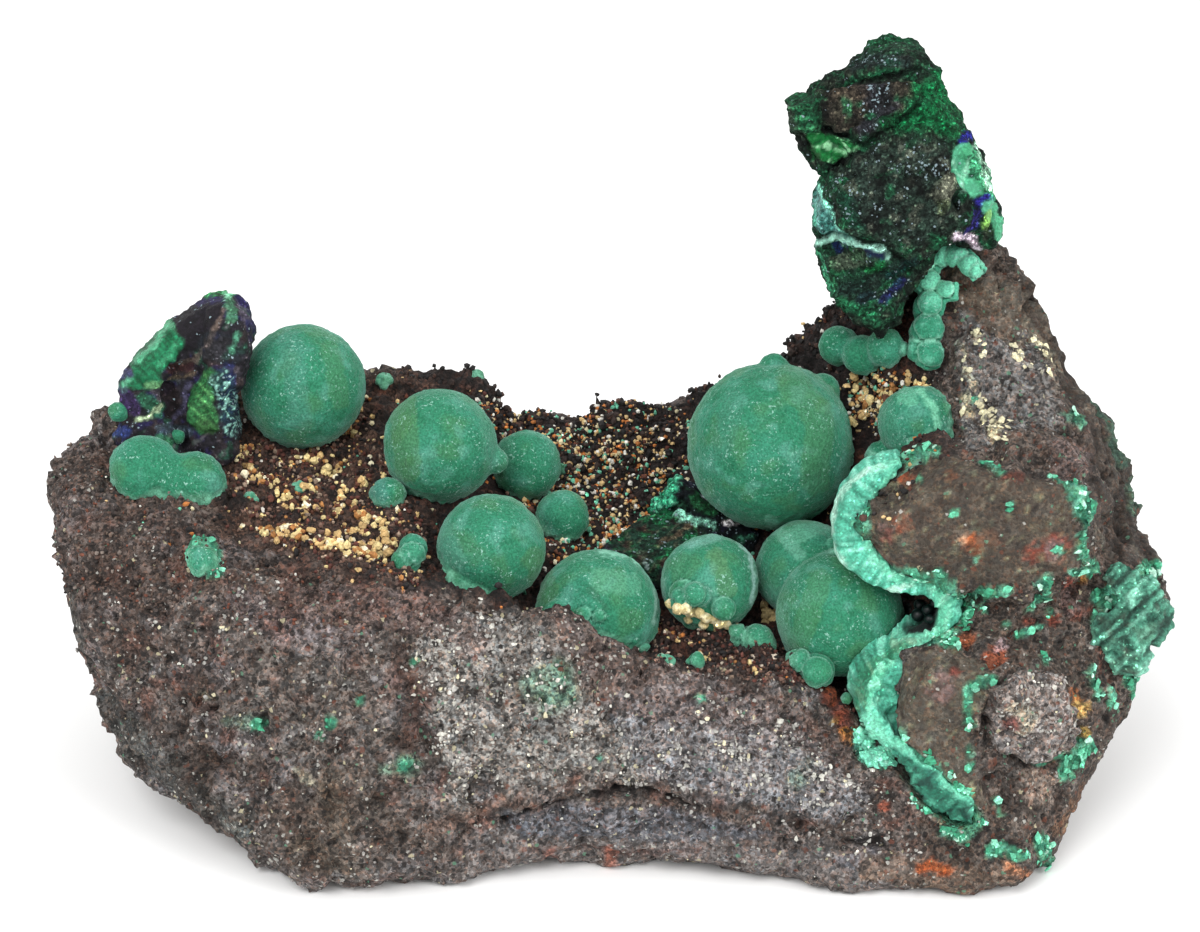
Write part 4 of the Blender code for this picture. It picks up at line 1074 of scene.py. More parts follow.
coat.strokes([
    (
        5, 0.9, (176, 222, 202), 887, 466, 870, 470, 853, 482, 840, 500, 834, 517, 833, 538, 840, 556, 852, 574,
        868, 586, 884, 591, 912, 586
    ),
    (5, 0.5, (66, 146, 120), 851, 486, 844, 500, 840, 520, 839, 540, 847, 560, 860, 576),
    (4, 0.6, (116, 146, 104), 846, 572, 862, 585, 884, 592),
    (5, 0.6, (150, 190, 160), 893, 632, 905, 628, 920, 630),
    (9, 0.6, (110, 196, 164), 876, 470, 893, 462, 906, 458),
])
coat.lay(inner_edge * 0.75, 104, 198, 162)
coat.mottle(0.9, 2, 124, 0.1, 0.5, inner_edge * 0.8, 150, 226, 196)
coat.mottle(1.1, 2, 135, 0.25, 0.6, inner_edge * 0.8, 48, 132, 104)
coat.lay(crest * 0.85, 112, 200, 168)
coat.lay(view.zone((862, 712, 880, 715, 890, 738, 886, 760, 866, 756, 860, 735), 3, 4) * 0.6, 120, 208, 176)
underside = strip * ramp(beside + 5 * fractal(p, 1.2, 2, 138), -8, -2) * ramp(down_strip, 12, 30)
coat.lay(underside * 0.9, 24, 92, 72)
coat.mottle(1.3, 3, 139, 0.0, 0.4, underside * 0.85, 12, 54, 46)
coat.mottle(1.0, 3, 145, 0.3, 0.6, underside * 0.7, 70, 150, 124)
# The inside of the hole behind the crust's face is painted near black: painted shade.
opening = (
    view.zone((890, 588, 935, 586, 946, 598, 944, 616, 930, 622, 894, 623), 2, 1.5)
    * ramp(p[:, 1] - crust_face(along), 0.4, 0.9)
)
coat.lay(opening, 5, 18, 16)
edge_above = view.line((893, 626, 915, 624, 940, 627), 4, 2, 1.5)
coat.lay(edge_above * (1 - opening) * 0.7, 120, 200, 168)
gloss = (0.35 + 0.2 * ramp(fibres, 0, 0.5)) * (1 - opening)
dressed(
    "crust_fibres", mesh, coat, tinted_material("mint", 0.25, 0.3, 0.1, 0.05), "crust", ["crust"], gloss=gloss
)

mesh, p, n, view = detailed(0.2, 3, "chain_of_balls")
dome, rim_sheen, seams = discs(view)
rise = 0.1 * fractal(p, 1.1, 2, 130) + 0.06 * smooth_noise(p, 0.4, 131) + 0.4 * dome - 0.32 * seams
rise -= 0.6 * view.spot(984, 272, 7, 12, 4)
put_points(mesh, p + n * rise[:, None])
ring = ramp(p[:, 2], 45, 47.5)
coat = Coat(view, 54, 136, 106)
coat.lay(ring, 100, 198, 162)
coat.mottle(0.9, 2, 132, 0.1, 0.7, 0.6, 112, 190, 162)
coat.mottle(1.4, 2, 133, 0.2, 0.8, 0.5, 40, 118, 88)
# Painted shade in the seams round the small balls, and painted sheen on their rims.
coat.lay(seams * 0.75, 30, 96, 70)
coat.lay(rim_sheen * (0.45 + 0.5 * ring), 150, 218, 190)
coat.lay(ring * dome * 0.6, 128, 222, 186)
coat.lay(ramp(distances(rock_tree, p), 0.6, 0.1) * 0.5, 160, 212, 190)
dressed("chain_velvet", mesh, coat, velvet, "chain_of_balls", ["chain_of_balls"])

HALF_RIGHT = 0.707
mesh, p, n, view = detailed(0.25, 2, "patch_right")
near_cell, number, _ = cells(p, 1.0, 140)
across_patch, down_patch = (view.u + view.v) * HALF_RIGHT, (view.v - view.u) * HALF_RIGHT
streaks = plane_noise(across_patch / 7, down_patch / 40, 146)
rise = (
    0.45 * ramp(near_cell, 0.7, 0.1) * number - 0.15 + 0.3 * fractal(p, 0.8, 3, 141)
    + 0.35 * fractal(p, 2.2, 3, 142) + 0.3 * streaks
)
put_points(mesh, kept_inside(p + n * rise[:, None]))
coat = Coat(view, 76, 142, 118)
# Colour follows the relief: paler on the raised crumbs and streaks, a painted highlight, and darker in the low
# gaps and sunk streaks, painted shade.
coat.lay(ramp(rise, 0.05, 0.5) * 0.95, 132, 200, 174)
coat.lay(ramp(rise, 0.0, -0.35) * 0.85, 28, 68, 56)
coat.mottle(2.6, 2, 143, 0.2, 0.7, 0.5, 84, 112, 92)
coat.mottle(1.3, 3, 144, 0.3, 0.7, 0.6, 62, 56, 50)
coat.lay(ramp(streaks, -0.1, -0.5) * 0.8, 34, 62, 52)
coat.lay(ramp(streaks, 0.2, 0.7) * 0.5, 140, 206, 182)
crumbly = tinted_material("crumbly", 0.3, 0.4, 0.2, 0.03)
dressed("patch_crumbs", mesh, coat, crumbly, "patch_right", ["patch_right"])


# ---------------------------------------------------------------- the dark crystals

dark_stone = tinted_material("dark_crystal", 0.3, 0.8, 0.3, 0.0, 0.15)

UPPER_CUSHION = (818, 96, 850, 86, 885, 82, 915, 84, 918, 98, 900, 112, 882, 128, 864, 142, 845, 132, 826, 122)
MIDDLE_CUSHION = (
    836, 185, 850, 160, 875, 148, 915, 140, 945, 150, 952, 175, 955, 215, 930, 240, 890, 248, 855, 232, 838, 210,
)
WEDGE = (803, 140, 812, 133, 835, 136, 860, 148, 846, 156, 830, 164, 812, 160)
LEFT_TIP = (783, 96, 820, 92, 822, 120, 816, 134, 800, 134, 790, 118)
TOP_RIGHT = (915, 90, 940, 70, 948, 95, 958, 118, 960, 140, 940, 134, 915, 128, 890, 132, 878, 126, 905, 112)
LOWER_BLOCK = (812, 246, 835, 240, 884, 254, 905, 262, 905, 290, 880, 312, 850, 312, 828, 290)
GLASSY = (811, 190, 818, 184, 826, 205, 842, 232, 848, 242, 820, 236, 812, 215)

mesh, p, n, view = detailed(0.23, 3, "crystal_spire")
upper, middle = view.zone(UPPER_CUSHION, 6, 5), view.zone(MIDDLE_CUSHION, 10, 6)
wedge, tip = view.zone(WEDGE, 2, 2), view.zone(LEFT_TIP, 4, 3)
silky, block, glassy = view.zone(TOP_RIGHT, 6, 6), view.zone(LOWER_BLOCK, 3, 3), view.zone(GLASSY, 2, 2)
grooves = view.lines(
    ((812, 93, 850, 83, 880, 79, 918, 68), 5, 3, 2), ((888, 254, 905, 262), 5, 3, 2),
    ((818, 124, 846, 135, 864, 145, 885, 130, 912, 112, 922, 92), 5, 3, 2),
    ((800, 136, 815, 162, 832, 168, 860, 152), 4, 3, 2), ((812, 238, 835, 235, 862, 241, 890, 247), 4, 3, 2),
)
hole, brow = view.spot(957, 201, 6, 9, 2, 1), view.spot(944, 190, 10, 12, 5, 3)
rough = 1 - 0.7 * np.clip(wedge + 0.6 * tip + glassy, 0, 1)
rise = (0.45 * fractal(p, 3.4, 2, 150) + 0.3 * fractal(p, 1.5, 2, 151)) * rough
rise += (0.17 * fractal(p, 0.6, 2, 152) + 0.07 * smooth_noise(p, 0.34, 153)) * rough
rise += 0.8 * upper + 0.6 * middle - 0.8 * grooves - 1.6 * hole + 0.9 * brow - 0.5 * wedge + 0.3 * tip
rise += 0.5 * view.line((940, 70, 948, 95, 958, 120), 14, 6, 2)
stripes = plane_noise(view.u * 0.02, view.v * 0.35, 154)
rise += 0.25 * stripes * tip
put_points(mesh, kept_inside(p + n * rise[:, None]))
coat = Coat(view, 36, 58, 46)
coat.mottle(3, 2, 155, -0.1, 0.6, 1, 30, 76, 52)
coat.mottle(1.2, 2, 156, 0.1, 0.7, 0.7, 70, 78, 66)
coat.mottle(0.9, 2, 157, 0.2, 0.8, 0.6, 22, 28, 26)
coat.lay(upper * 0.85, 70, 62, 54)
coat.lay(middle * 0.7, 50, 64, 58)
coat.lay(upper * view.line((872, 86, 884, 110, 870, 135), 26, 5, 5) * 0.8, 40, 44, 54)
coat.lay(silky * 0.9, 16, 116, 66)
coat.mottle(0.9, 2, 158, 0.1, 0.7, silky * 0.6, 40, 132, 84)
coat.colours *= 0.5
coat.mottle(2.2, 3, 162, 0.1, 0.6, (1 - silky) * 0.85, 9, 12, 11)
coat.mottle(1.7, 3, 163, 0.25, 0.65, 0.7, 22, 74, 48)
coat.lay(blots(p, 1.3, 3, 166, 0.2, 0.6) * middle * 0.8, 74, 80, 70)
coat.lay(tip * 0.9, 16, 64, 40)
coat.lay(tip * ramp(stripes, 0.1, 0.5) * 0.8, 60, 132, 88)
coat.lay(wedge, 30, 116, 58)
# Paler towards the right of the wedge: a painted highlight.
coat.lay(wedge * ramp(fractal(p, 0.9, 3, 159) + (view.u - 834) * 0.02, 0.0, 0.4), 150, 216, 164)
coat.mottle(0.7, 3, 160, 0.1, 0.5, wedge * 0.85, 10, 64, 32)
coat.lay(glassy, 60, 116, 108)
coat.mottle(0.9, 3, 164, 0.1, 0.5, glassy * 0.8, 120, 176, 170)
coat.lay(block * 0.6, 24, 50, 38)
coat.mottle(1.4, 3, 165, 0.1, 0.5, block * 0.6, 30, 92, 58)
coat.strokes([
    (12, 0.5, (30, 56, 42), 866, 58, 895, 48, 930, 50), (14, 0.5, (26, 36, 40), 855, 66, 880, 58, 905, 62),
    (3, 0.6, (26, 96, 62), 835, 86, 860, 78, 900, 68), (7, 0.6, (22, 80, 50), 862, 46, 895, 36, 905, 40),
    (14, 0.5, (58, 50, 42), 836, 96, 860, 92), (6, 0.7, (44, 50, 42), 787, 106, 800, 134, 822, 166),
    (10, 0.5, (18, 64, 42), 822, 172, 838, 186, 850, 215, 870, 240),
    (12, 0.5, (16, 48, 38), 848, 200, 860, 235),
    (4, 0.9, (130, 206, 184), 820, 188, 824, 200, 838, 226, 850, 240),
    (4, 0.8, (96, 190, 160), 812, 196, 814, 222),
    (5, 1.0, (160, 218, 198), 815, 243, 835, 239, 856, 246, 884, 250, 889, 258),
    (6, 0.8, (70, 156, 116), 815, 250, 822, 275, 832, 294), (18, 0.5, (66, 72, 60), 838, 262, 860, 258),
    (9, 0.7, (20, 96, 50), 870, 268, 882, 262), (5, 0.9, (20, 34, 78), 838, 247),
    (5, 0.9, (16, 22, 58), 866, 252, 882, 256), (9, 0.7, (26, 22, 74), 884, 300, 896, 288, 904, 280),
    (14, 0.5, (12, 24, 26), 845, 290, 880, 280, 900, 265), (10, 0.5, (14, 20, 40), 860, 300, 872, 296),
    (8, 0.5, (18, 56, 56), 890, 276, 915, 260), (10, 0.6, (22, 84, 54), 845, 305, 870, 314),
    (16, 0.95, (92, 182, 142), 962, 150, 956, 165, 962, 180, 975, 188),
    (13, 0.95, (66, 150, 108), 964, 152, 974, 170, 986, 186, 990, 194),
    (3, 0.7, (40, 112, 80), 950, 158, 962, 172, 976, 176), (2.5, 0.7, (160, 218, 190), 968, 160, 962, 190),
    (3, 0.9, (176, 228, 198), 972, 148, 982, 165, 988, 190), (3, 0.8, (170, 226, 200), 952, 160, 962, 185),
    (10, 0.7, (40, 110, 72), 980, 135, 990, 155, 992, 180), (5, 1.0, (26, 28, 104), 964, 139),
    (7, 1.0, (34, 30, 108), 984, 202), (8, 0.95, (36, 32, 96), 978, 212, 974, 226, 964, 238),
    (15, 0.9, (92, 184, 140), 990, 208, 1000, 225, 1003, 236), (7, 0.7, (140, 196, 96), 988, 214, 985, 226),
    (5, 0.8, (50, 70, 40), 985, 228, 992, 232), (7, 0.9, (206, 190, 204), 958, 236, 972, 240, 978, 248),
    (12, 0.6, (36, 40, 36), 952, 204),
])
coat.lay(brow * 0.7, 96, 98, 84)
coat.lay(view.spot(943, 202, 6, 9) * 0.6, 88, 100, 74)
# Darker in the hole: painted shade.
coat.lay(hole, 10, 20, 18)
# Darker in the grooves: painted shade.
coat.lay(grooves * 0.8, 10, 18, 15)
behind = ramp(n @ TO_CAMERA, 0.0, -0.4)
coat.mottle(4, 3, 161, 0.2, 0.6, behind * 0.8, 40, 120, 84)
# Where the material paints its glints.
sparkle = 0.1 + 0.12 * middle + 0.15 * upper + 0.5 * glassy + 0.1 * block
sparkle = np.maximum(sparkle, 0.75 * view.lines(
    ((860, 62, 895, 58), 16, 5, 5), ((878, 84, 884, 105, 872, 132), 26, 5, 5),
    ((880, 170, 900, 160, 935, 168), 22, 5, 5), ((842, 178, 848, 200, 838, 215), 18, 5, 5),
    ((872, 186, 880, 205), 14, 5, 5), ((890, 228, 920, 225), 10, 5, 5),
))
sparkle = np.clip(sparkle - wedge - silky * 0.5 - grooves, 0, 1)
pale = view.line((962, 150, 956, 165, 962, 180, 975, 190), 20, 3, 3) + view.line((990, 208, 1003, 236), 16, 3, 3)
pale += view.line((815, 243, 835, 239, 856, 246, 889, 258), 7, 3, 3)
gloss = np.clip(0.9 * wedge + 0.6 * glassy + 0.4 * tip + 1.0 * pale, 0, 1)
dressed("spire_velvet", mesh, coat, dark_stone, "crystal_spire", ["crystal_spire"], sparkle=sparkle, gloss=gloss)

GREEN_FACE = (
    171, 320, 177, 332, 185, 341, 182, 350, 170, 365, 160, 372, 164, 384, 149, 390, 134, 388, 122, 387, 131, 373,
    130, 365, 126, 354, 141, 344, 156, 329,
)
BLADE = (174, 318, 193, 302, 223, 296, 223, 316, 209, 336, 203, 349, 185, 350, 185, 339, 177, 331)
LEAF = (
    210, 367, 220, 372, 223, 383, 214, 394, 212, 405, 218, 416, 219, 430, 201, 432, 188, 421, 190, 399, 196, 384,
)

mesh, p, n, view = detailed(0.2, 3, "crystals_left")
green, blade, leaf = view.zone(GREEN_FACE, 2, 2), view.zone(BLADE, 2, 2), view.zone(LEAF, 2, 2)
lace = view.line((222, 380, 228, 400, 233, 425), 20, 4, 4)
streaks = plane_noise((view.u - view.v) * 0.16, (view.u + view.v) * 0.02, 170)
calm = 1 - 0.6 * np.clip(green + blade + leaf, 0, 1)
rise = (0.3 * fractal(p, 2.6, 3, 171) + 0.16 * fractal(p, 0.8, 2, 172)) * calm + 0.1 * streaks * (1 - lace)
rise += 0.35 * lace * ramp(cells(p, 0.8, 173)[0], 0.5, 0.2) + 0.3 * leaf
rise -= 0.6 * view.line((169, 368, 193, 364, 200, 372), 6, 3, 2) + 0.6 * view.line((166, 388, 172, 412), 12, 3, 2)
put_points(mesh, p + n * rise[:, None])
coat = Coat(view, 28, 26, 32)
coat.mottle(2, 3, 174, 0, 0.5, 1, 46, 38, 40)
coat.mottle(1.4, 3, 175, 0.15, 0.6, 0.8, 28, 24, 62)
coat.mottle(1.8, 3, 176, 0.25, 0.7, 0.8, 26, 66, 50)
coat.mottle(0.9, 2, 177, 0.3, 0.8, 0.6, 84, 78, 84)
coat.lay(green, 8, 82, 50)
coat.lay(green * ramp(streaks, 0.0, 0.5) * 0.6, 28, 122, 82)
coat.lay(green * ramp(streaks, 0.0, -0.6) * 0.7, 6, 58, 34)
coat.lay(blade * 0.95, 16, 12, 19)
coat.lay(leaf, 34, 88, 48)
coat.lay(leaf * ramp(streaks, 0.05, 0.5) * 0.8, 80, 144, 84)
coat.mottle(1.2, 2, 178, 0.1, 0.6, leaf * 0.7, 18, 66, 34)
coat.strokes([
    # The first stroke, a pale streak down the green face, is a painted highlight.
    (6, 0.7, (92, 180, 138), 165, 326, 154, 345, 142, 356, 136, 361),
    (7, 0.6, (86, 166, 124), 168, 322, 172, 328), (5, 0.5, (64, 150, 108), 176, 345, 168, 358, 158, 366),
    (5, 0.6, (18, 84, 52), 172, 334, 168, 346), (6, 0.7, (92, 170, 134), 124, 388, 128, 380),
    (12, 0.85, (60, 62, 92), 116, 367, 126, 374), (3, 0.7, (90, 92, 110), 112, 372, 120, 360, 130, 350),
    (6, 0.7, (32, 26, 74), 198, 303, 208, 300, 222, 300),
    (8, 0.9, (52, 132, 80), 208, 294, 223, 290, 232, 292), (11, 0.75, (62, 112, 84), 229, 300, 232, 318),
    (4, 0.8, (130, 196, 160), 228, 295), (9, 0.6, (84, 78, 92), 240, 304, 246, 318),
    (6, 0.8, (30, 26, 66), 238, 297, 249, 305, 257, 327), (8, 0.7, (34, 36, 84), 250, 322, 256, 332),
    (5, 0.7, (98, 84, 76), 224, 311, 214, 331, 207, 345, 193, 362, 173, 367),
    (30, 0.6, (28, 34, 40), 212, 345, 230, 350), (8, 0.9, (40, 18, 20), 172, 370, 190, 368),
    (4, 0.8, (86, 74, 60), 170, 380, 182, 377, 193, 373), (16, 0.85, (27, 20, 22), 170, 390, 174, 412),
    (4, 0.7, (70, 68, 92), 188, 383, 182, 410, 171, 424), (16, 0.8, (48, 34, 70), 122, 394, 134, 408),
    (14, 0.8, (40, 54, 110), 108, 426, 124, 432), (14, 0.7, (40, 96, 70), 145, 400, 158, 408),
    (4, 0.85, (190, 214, 172), 135, 419, 147, 418, 160, 406), (8, 0.6, (110, 160, 110), 150, 385, 160, 384),
    (10, 0.6, (56, 72, 82), 160, 428, 190, 432), (5, 0.8, (70, 130, 104), 232, 350, 238, 335),
    (10, 0.6, (28, 36, 80), 229, 365, 232, 400), (12, 0.7, (38, 70, 34), 200, 424, 212, 428),
    (8, 0.6, (60, 130, 90), 160, 436, 168, 444),
])
lace_net = lace * ramp(np.abs(fractal(p, 0.9, 3, 179)), 0.22, 0.08)
coat.lay(lace * 0.8, 26, 48, 62)
coat.lay(lace_net * 0.9, 142, 196, 182)
silk = tinted_material("silky_crystal", 0.3, 0.5, 0.14, 0.0, 0.25)
# Where the material paints its glints.
sparkle = np.clip(0.12 + 0.3 * lace - green - leaf, 0, 1)
gloss = np.clip(0.6 * green + 0.4 * leaf + 0.3 * blade + 0.1, 0, 1)
dressed("left_crystals_silk", mesh, coat, silk, "crystals_left", ["crystals_left"], sparkle=sparkle, gloss=gloss)

mesh, p, n, view = detailed(0.2, 3, "crystal_middle")
PLATE = (
    600, 544, 615, 526, 632, 516, 651, 512, 667, 510, 680, 516, 696, 524, 705, 532, 705, 544, 690, 557, 669, 577,
    659, 584, 645, 577, 632, 568, 615, 561, 603, 554,
)
plate = view.zone(PLATE, 3, 2)
streaks = plane_noise((view.u + view.v) * 0.16, (view.u - view.v) * 0.03, 180)
crown = view.lines(((646, 510, 660, 504, 672, 502), 10, 2, 4), ((668, 496, 672, 487, 678, 478), 9, 2, 4))
seam = view.line((678, 516, 696, 521, 714, 526), 6, 2, 3)
rise = 0.25 * fractal(p, 2.2, 3, 181) + 0.14 * fractal(p, 0.7, 2, 182) + 0.08 * streaks
rise += (crown + seam) * (0.3 + 0.3 * ramp(cells(p, 0.9, 183)[0], 0.6, 0.2))
put_points(mesh, p + n * rise[:, None])
coat = Coat(view, 15, 20, 24)
coat.mottle(1.8, 2, 184, 0, 0.6, 1, 20, 44, 32)
coat.mottle(1.3, 2, 185, 0.2, 0.7, 0.7, 22, 18, 38)
coat.lay(plate * 0.8, 24, 52, 38)
coat.lay(plate * ramp(streaks + 0.6 * fractal(p, 1.2, 3, 188), 0.1, 0.6) * 0.7, 70, 74, 60)
coat.mottle(1.1, 3, 186, 0.15, 0.6, plate * 0.7, 22, 92, 54)
coat.mottle(1.4, 3, 189, 0.2, 0.6, plate * 0.7, 52, 26, 26)
coat.mottle(1.0, 3, 180, 0.2, 0.6, plate * 0.7, 12, 14, 16)
coat.strokes([
    (4, 0.6, (104, 88, 70), 658, 546, 675, 535, 690, 524),
    (12, 0.7, (26, 20, 36), 665, 575, 680, 560, 696, 548),
    (10, 0.6, (30, 32, 48), 603, 548, 618, 558, 630, 562), (10, 0.6, (26, 100, 62), 655, 514, 668, 514),
    (7, 0.7, (34, 112, 70), 692, 538), (12, 0.6, (26, 28, 44), 690, 480, 720, 500, 745, 516, 758, 530),
    (16, 0.6, (30, 90, 52), 698, 500, 712, 508), (6, 0.9, (216, 210, 214), 726, 524, 736, 522),
    (3, 0.9, (210, 216, 224), 735, 513), (3, 0.9, (190, 200, 210), 704, 496, 709, 495),
    (4, 0.5, (170, 190, 190), 646, 566), (7, 0.6, (60, 120, 96), 752, 536, 742, 540),
])
coat.lay(crown, 56, 152, 116)
coat.mottle(1.0, 3, 187, 0.1, 0.5, crown, 120, 206, 172)
coat.mottle(1.0, 3, 192, 0.2, 0.6, crown, 20, 92, 64)
coat.lay(seam, 136, 204, 180)
# Where the material paints its glints.
sparkle = 0.35 - 0.15 * plate
dressed(
    "middle_crystal_silk", mesh, coat, dark_stone, "crystal_middle", ["crystal_middle"], sparkle=sparkle,
    gloss=0.35
)


# ---------------------------------------------------------------- grains and crumbs

def scatter(name, material, seed, groups, level=2, flat=0.0):
    """Small irregular grains on the rock. A group is a count, the weight of each point of the rock, the least and
    the largest radius, and its colours with their shares. Flat ones lie along the rock."""
    chance = np.random.default_rng(seed)
    shape = bmesh.new()
    bmesh.ops.create_icosphere(shape, subdivisions=level, radius=1)
    ball = np.array([v.co[:] for v in shape.verts])
    corners = np.array([[v.index for v in f.verts] for f in shape.faces])
    shape.free()
    points, faces, tints = [], [], []
    for count, weight, least, largest, palette in groups:
        total = weight.sum()
        if not total:
            continue
        picks = chance.choice(len(weight), count, p=weight / total)
        radius = least + (largest - least) * chance.random(count) ** 1.6
        squash = 0.65 + (0.6 + flat) * chance.random((count, 1, 3))
        shaped = ball[None] * squash * (1 + (0.16 + 0.2 * flat) * chance.standard_normal((count, len(ball), 1)))
        up = rock_normals[picks][:, None]
        shaped = shaped - flat * (shaped * up).sum(2, keepdims=True) * up
        centres = rock_points[picks] + 0.4 * radius[:, None] * chance.standard_normal((count, 3)) * (1 - flat)
        centres = centres + up[:, 0] * radius[:, None] * 0.45 * (1 - flat)
        first = sum(len(a) for a in points)
        points.append(kept_inside((shaped * radius[:, None, None] + centres[:, None]).reshape(-1, 3)))
        faces.append((corners[None] + (np.arange(count) * len(ball))[:, None, None]).reshape(-1, 3) + first)
        shares = np.array([share for share, colour in palette])
        which = chance.choice(len(palette), count, p=shares / shares.sum())
        tint = (
            np.array([srgb(*colour) for share, colour in palette])[which]
            * (0.8 + 0.4 * chance.random((count, 1)))
        )
        tints.append(np.repeat(tint, len(ball), axis=0))
    points, faces, tints = np.vstack(points), np.vstack(faces), np.vstack(tints)
    mesh = bpy.data.meshes.new(name)
    mesh.from_pydata(points * MM, [], faces)
    paint(mesh, np.clip(tints, 0, 1))
    give(mesh, "gloss", np.full(len(points), 0.3))
    make(name, mesh, material)
    mesh.shade_flat()


view = View(rock_points, rock_normals, rock_tree)
level = rock_hollow * ramp(rock_normals[:, 2], -0.1, 0.3)
CREAM = [(5, (222, 200, 144)), (4, (196, 164, 112)), (1, (226, 216, 186)), (2, (168, 116, 66)), (2, (92, 56, 40))]
TAN = [
    (5, (200, 170, 120)), (3, (176, 108, 54)), (2, (218, 206, 168)), (5, (36, 30, 29)), (2, (104, 180, 150)),
    (2, (222, 218, 208)), (2, (96, 54, 40)),
]
DARK = [(4, (28, 25, 25)), (2, (50, 38, 34)), (1, (70, 48, 40))]
MAROON = [(3, (40, 28, 26)), (3, (84, 46, 38)), (2, (110, 84, 72)), (2, (62, 44, 38)), (1, (140, 120, 104))]
BROWN = [(3, (96, 80, 70)), (2, (120, 108, 100)), (2, (70, 52, 44)), (1, (112, 66, 50)), (1, (44, 38, 36))]
PALE_MINT = [(4, (92, 180, 144)), (2, (130, 206, 176)), (3, (52, 136, 102)), (1, (168, 214, 192))]
clumps = blots(rock_points, 2.0, 2, 200, -0.25, 0.35)
streams = view.lines(
    ((244, 456, 262, 478, 285, 495, 305, 515), 16, 4, 5), ((322, 452, 340, 472, 352, 492), 24, 4, 6),
    ((258, 524, 300, 540, 345, 546, 392, 552), 18, 4, 6), ((305, 500, 345, 512, 378, 532), 22, 4, 6),
    ((352, 410, 345, 430, 325, 448, 300, 446), 12, 4, 5),
)
left_floor = view.zone(
    (210, 455, 260, 440, 300, 430, 360, 400, 400, 480, 430, 540, 425, 600, 370, 580, 300, 560, 235, 530), 6, 14, 2
)
left_slope = view.zone((60, 440, 200, 480, 235, 545, 330, 575, 440, 600, 440, 650, 60, 600), 10, 14, 3)
middle_floor = view.zone(
    (500, 440, 560, 425, 640, 440, 690, 470, 660, 520, 620, 560, 560, 560, 520, 500), 10, 14, 2
)
behind_floor = view.zone((400, 400, 520, 395, 660, 400, 700, 430, 560, 470, 480, 440), 10, 10, 2)
right_floor = view.zone((845, 380, 885, 370, 925, 385, 890, 440, 855, 420), 5, 6, 1.5)
rim_cream = view.lines(((555, 560, 570, 585, 560, 560), 14), ((660, 630, 700, 655, 760, 670), 10))
front_gap = view.zone((640, 612, 700, 628, 765, 640, 800, 680, 760, 684, 700, 672, 650, 660), 8, 6, 2)
grain = tinted_material("grain", 0.25, 0.25, 0.08, 0, 0.4)
scatter("hollow_grains", grain, 11, [
    (720, level * streams * clumps, 0.14, 0.42, CREAM), (300, level * left_floor * clumps, 0.12, 0.28, CREAM),
    (150, level * right_floor * clumps, 0.2, 0.45, CREAM), (110, rim_cream, 0.15, 0.35, CREAM + MAROON),
    (160, level * clumps, 0.13, 0.3, TAN),
    (7, view.spot(768, 612, 8), 0.4, 0.7, [(2, (190, 168, 120)), (1, (214, 204, 172))]),
    (14, front_gap, 0.12, 0.24, CREAM + TAN),
])
scatter("back_grains", grain, 14, [
    (2300, level * middle_floor * (0.3 + clumps), 0.12, 0.32, TAN),
    (1300, level * behind_floor, 0.12, 0.3, TAN + DARK),
    (500, level * right_floor, 0.12, 0.28, TAN), (1600, level * left_floor, 0.12, 0.3, MAROON),
    (1100, level, 0.12, 0.3, TAN + DARK + MAROON),
    (900, left_slope * view.shown, 0.1, 0.22, BROWN),
    (1300, front_gap, 0.1, 0.28, MAROON + MAROON + DARK + [(1, (196, 182, 164))]),
], 1)
ridge = (
    ramp(np.abs(rock_points[:, 1] - along_line(BACK_RIM_LINE, rock_points[:, 0])), 3, 0.5)
    * ramp(rock_normals[:, 2], 0.0, 0.5)
)
ridge = ridge * ramp(rock_points[:, 0], -30, -22) * ramp(rock_points[:, 0], 36, 30)
edge_mint = (
    ramp(by_crust, 0.5, 0.8) * ramp(by_crust, 1.4, 0.9) * wall * view.shown
    * blots(rock_points, 1.6, 2, 201, 0, 0.4)
)
scatter("dark_crumbs", tinted_material("dark_crumb", 0.25, 0.4, 0.12), 12, [
    (700, level * np.maximum(behind_floor, back_wall), 0.2, 0.45, DARK), (500, ridge, 0.15, 0.4, DARK),
    (700, level, 0.15, 0.4, DARK),
], 1)
bright_end = view.line((860, 738, 868, 752, 884, 756), 15, 3, 3) * view.shown
scatter("mint_crumbs", tinted_material("mint_crumb", 0.25, 0.35, 0.08, 0.05), 13, [
    (160, edge_mint, 0.14, 0.34, PALE_MINT), (520, skin * view.shown * (1 - bright_end), 0.12, 0.36, PALE_MINT),
    (260, bright_end, 0.14, 0.4, [(3, (128, 218, 188)), (1, (160, 228, 204))]),
    (60, level * middle_floor, 0.12, 0.26, PALE_MINT),
], 1, 0.6)

WHITE = [(3, (188, 186, 176)), (4, (160, 158, 152)), (1, (204, 196, 164)), (3, (134, 130, 126))]
CHALK = [(3, (222, 214, 178)), (2, (196, 190, 160)), (1, (150, 146, 130))]
fleck_lines = view.lines(
    ((432, 650, 446, 700, 440, 740, 456, 785), 30, 10, 12),
    ((640, 760, 720, 740, 800, 770, 850, 800), 50, 14, 14),
)
fleck_lines += 0.25 * light + 0.12 * front * blots(rock_points, 6, 2, 203, 0, 0.4) + 0.3 * knob
chalk = view.line((1034, 338, 1044, 356, 1048, 374), 6, 4, 3) + view.line((984, 404, 998, 432), 14, 6, 5)
chalk += (
    0.4 * view.line((962, 345, 968, 375, 966, 408), 8, 4, 4) + view.line((976, 334, 984, 352), 6, 4, 3)
    + view.line((1014, 348, 1026, 364), 5, 4, 3)
)
scatter("pale_flecks", tinted_material("fleck", 0.25, 0.25, 0.08, 0, 0.5), 15, [
    (1300, fleck_lines * view.shown * blots(rock_points, 1.6, 2, 204, -0.1, 0.4), 0.07, 0.2, WHITE),
    (150, chalk * view.shown, 0.12, 0.34, CHALK),
], 1, 0.5)

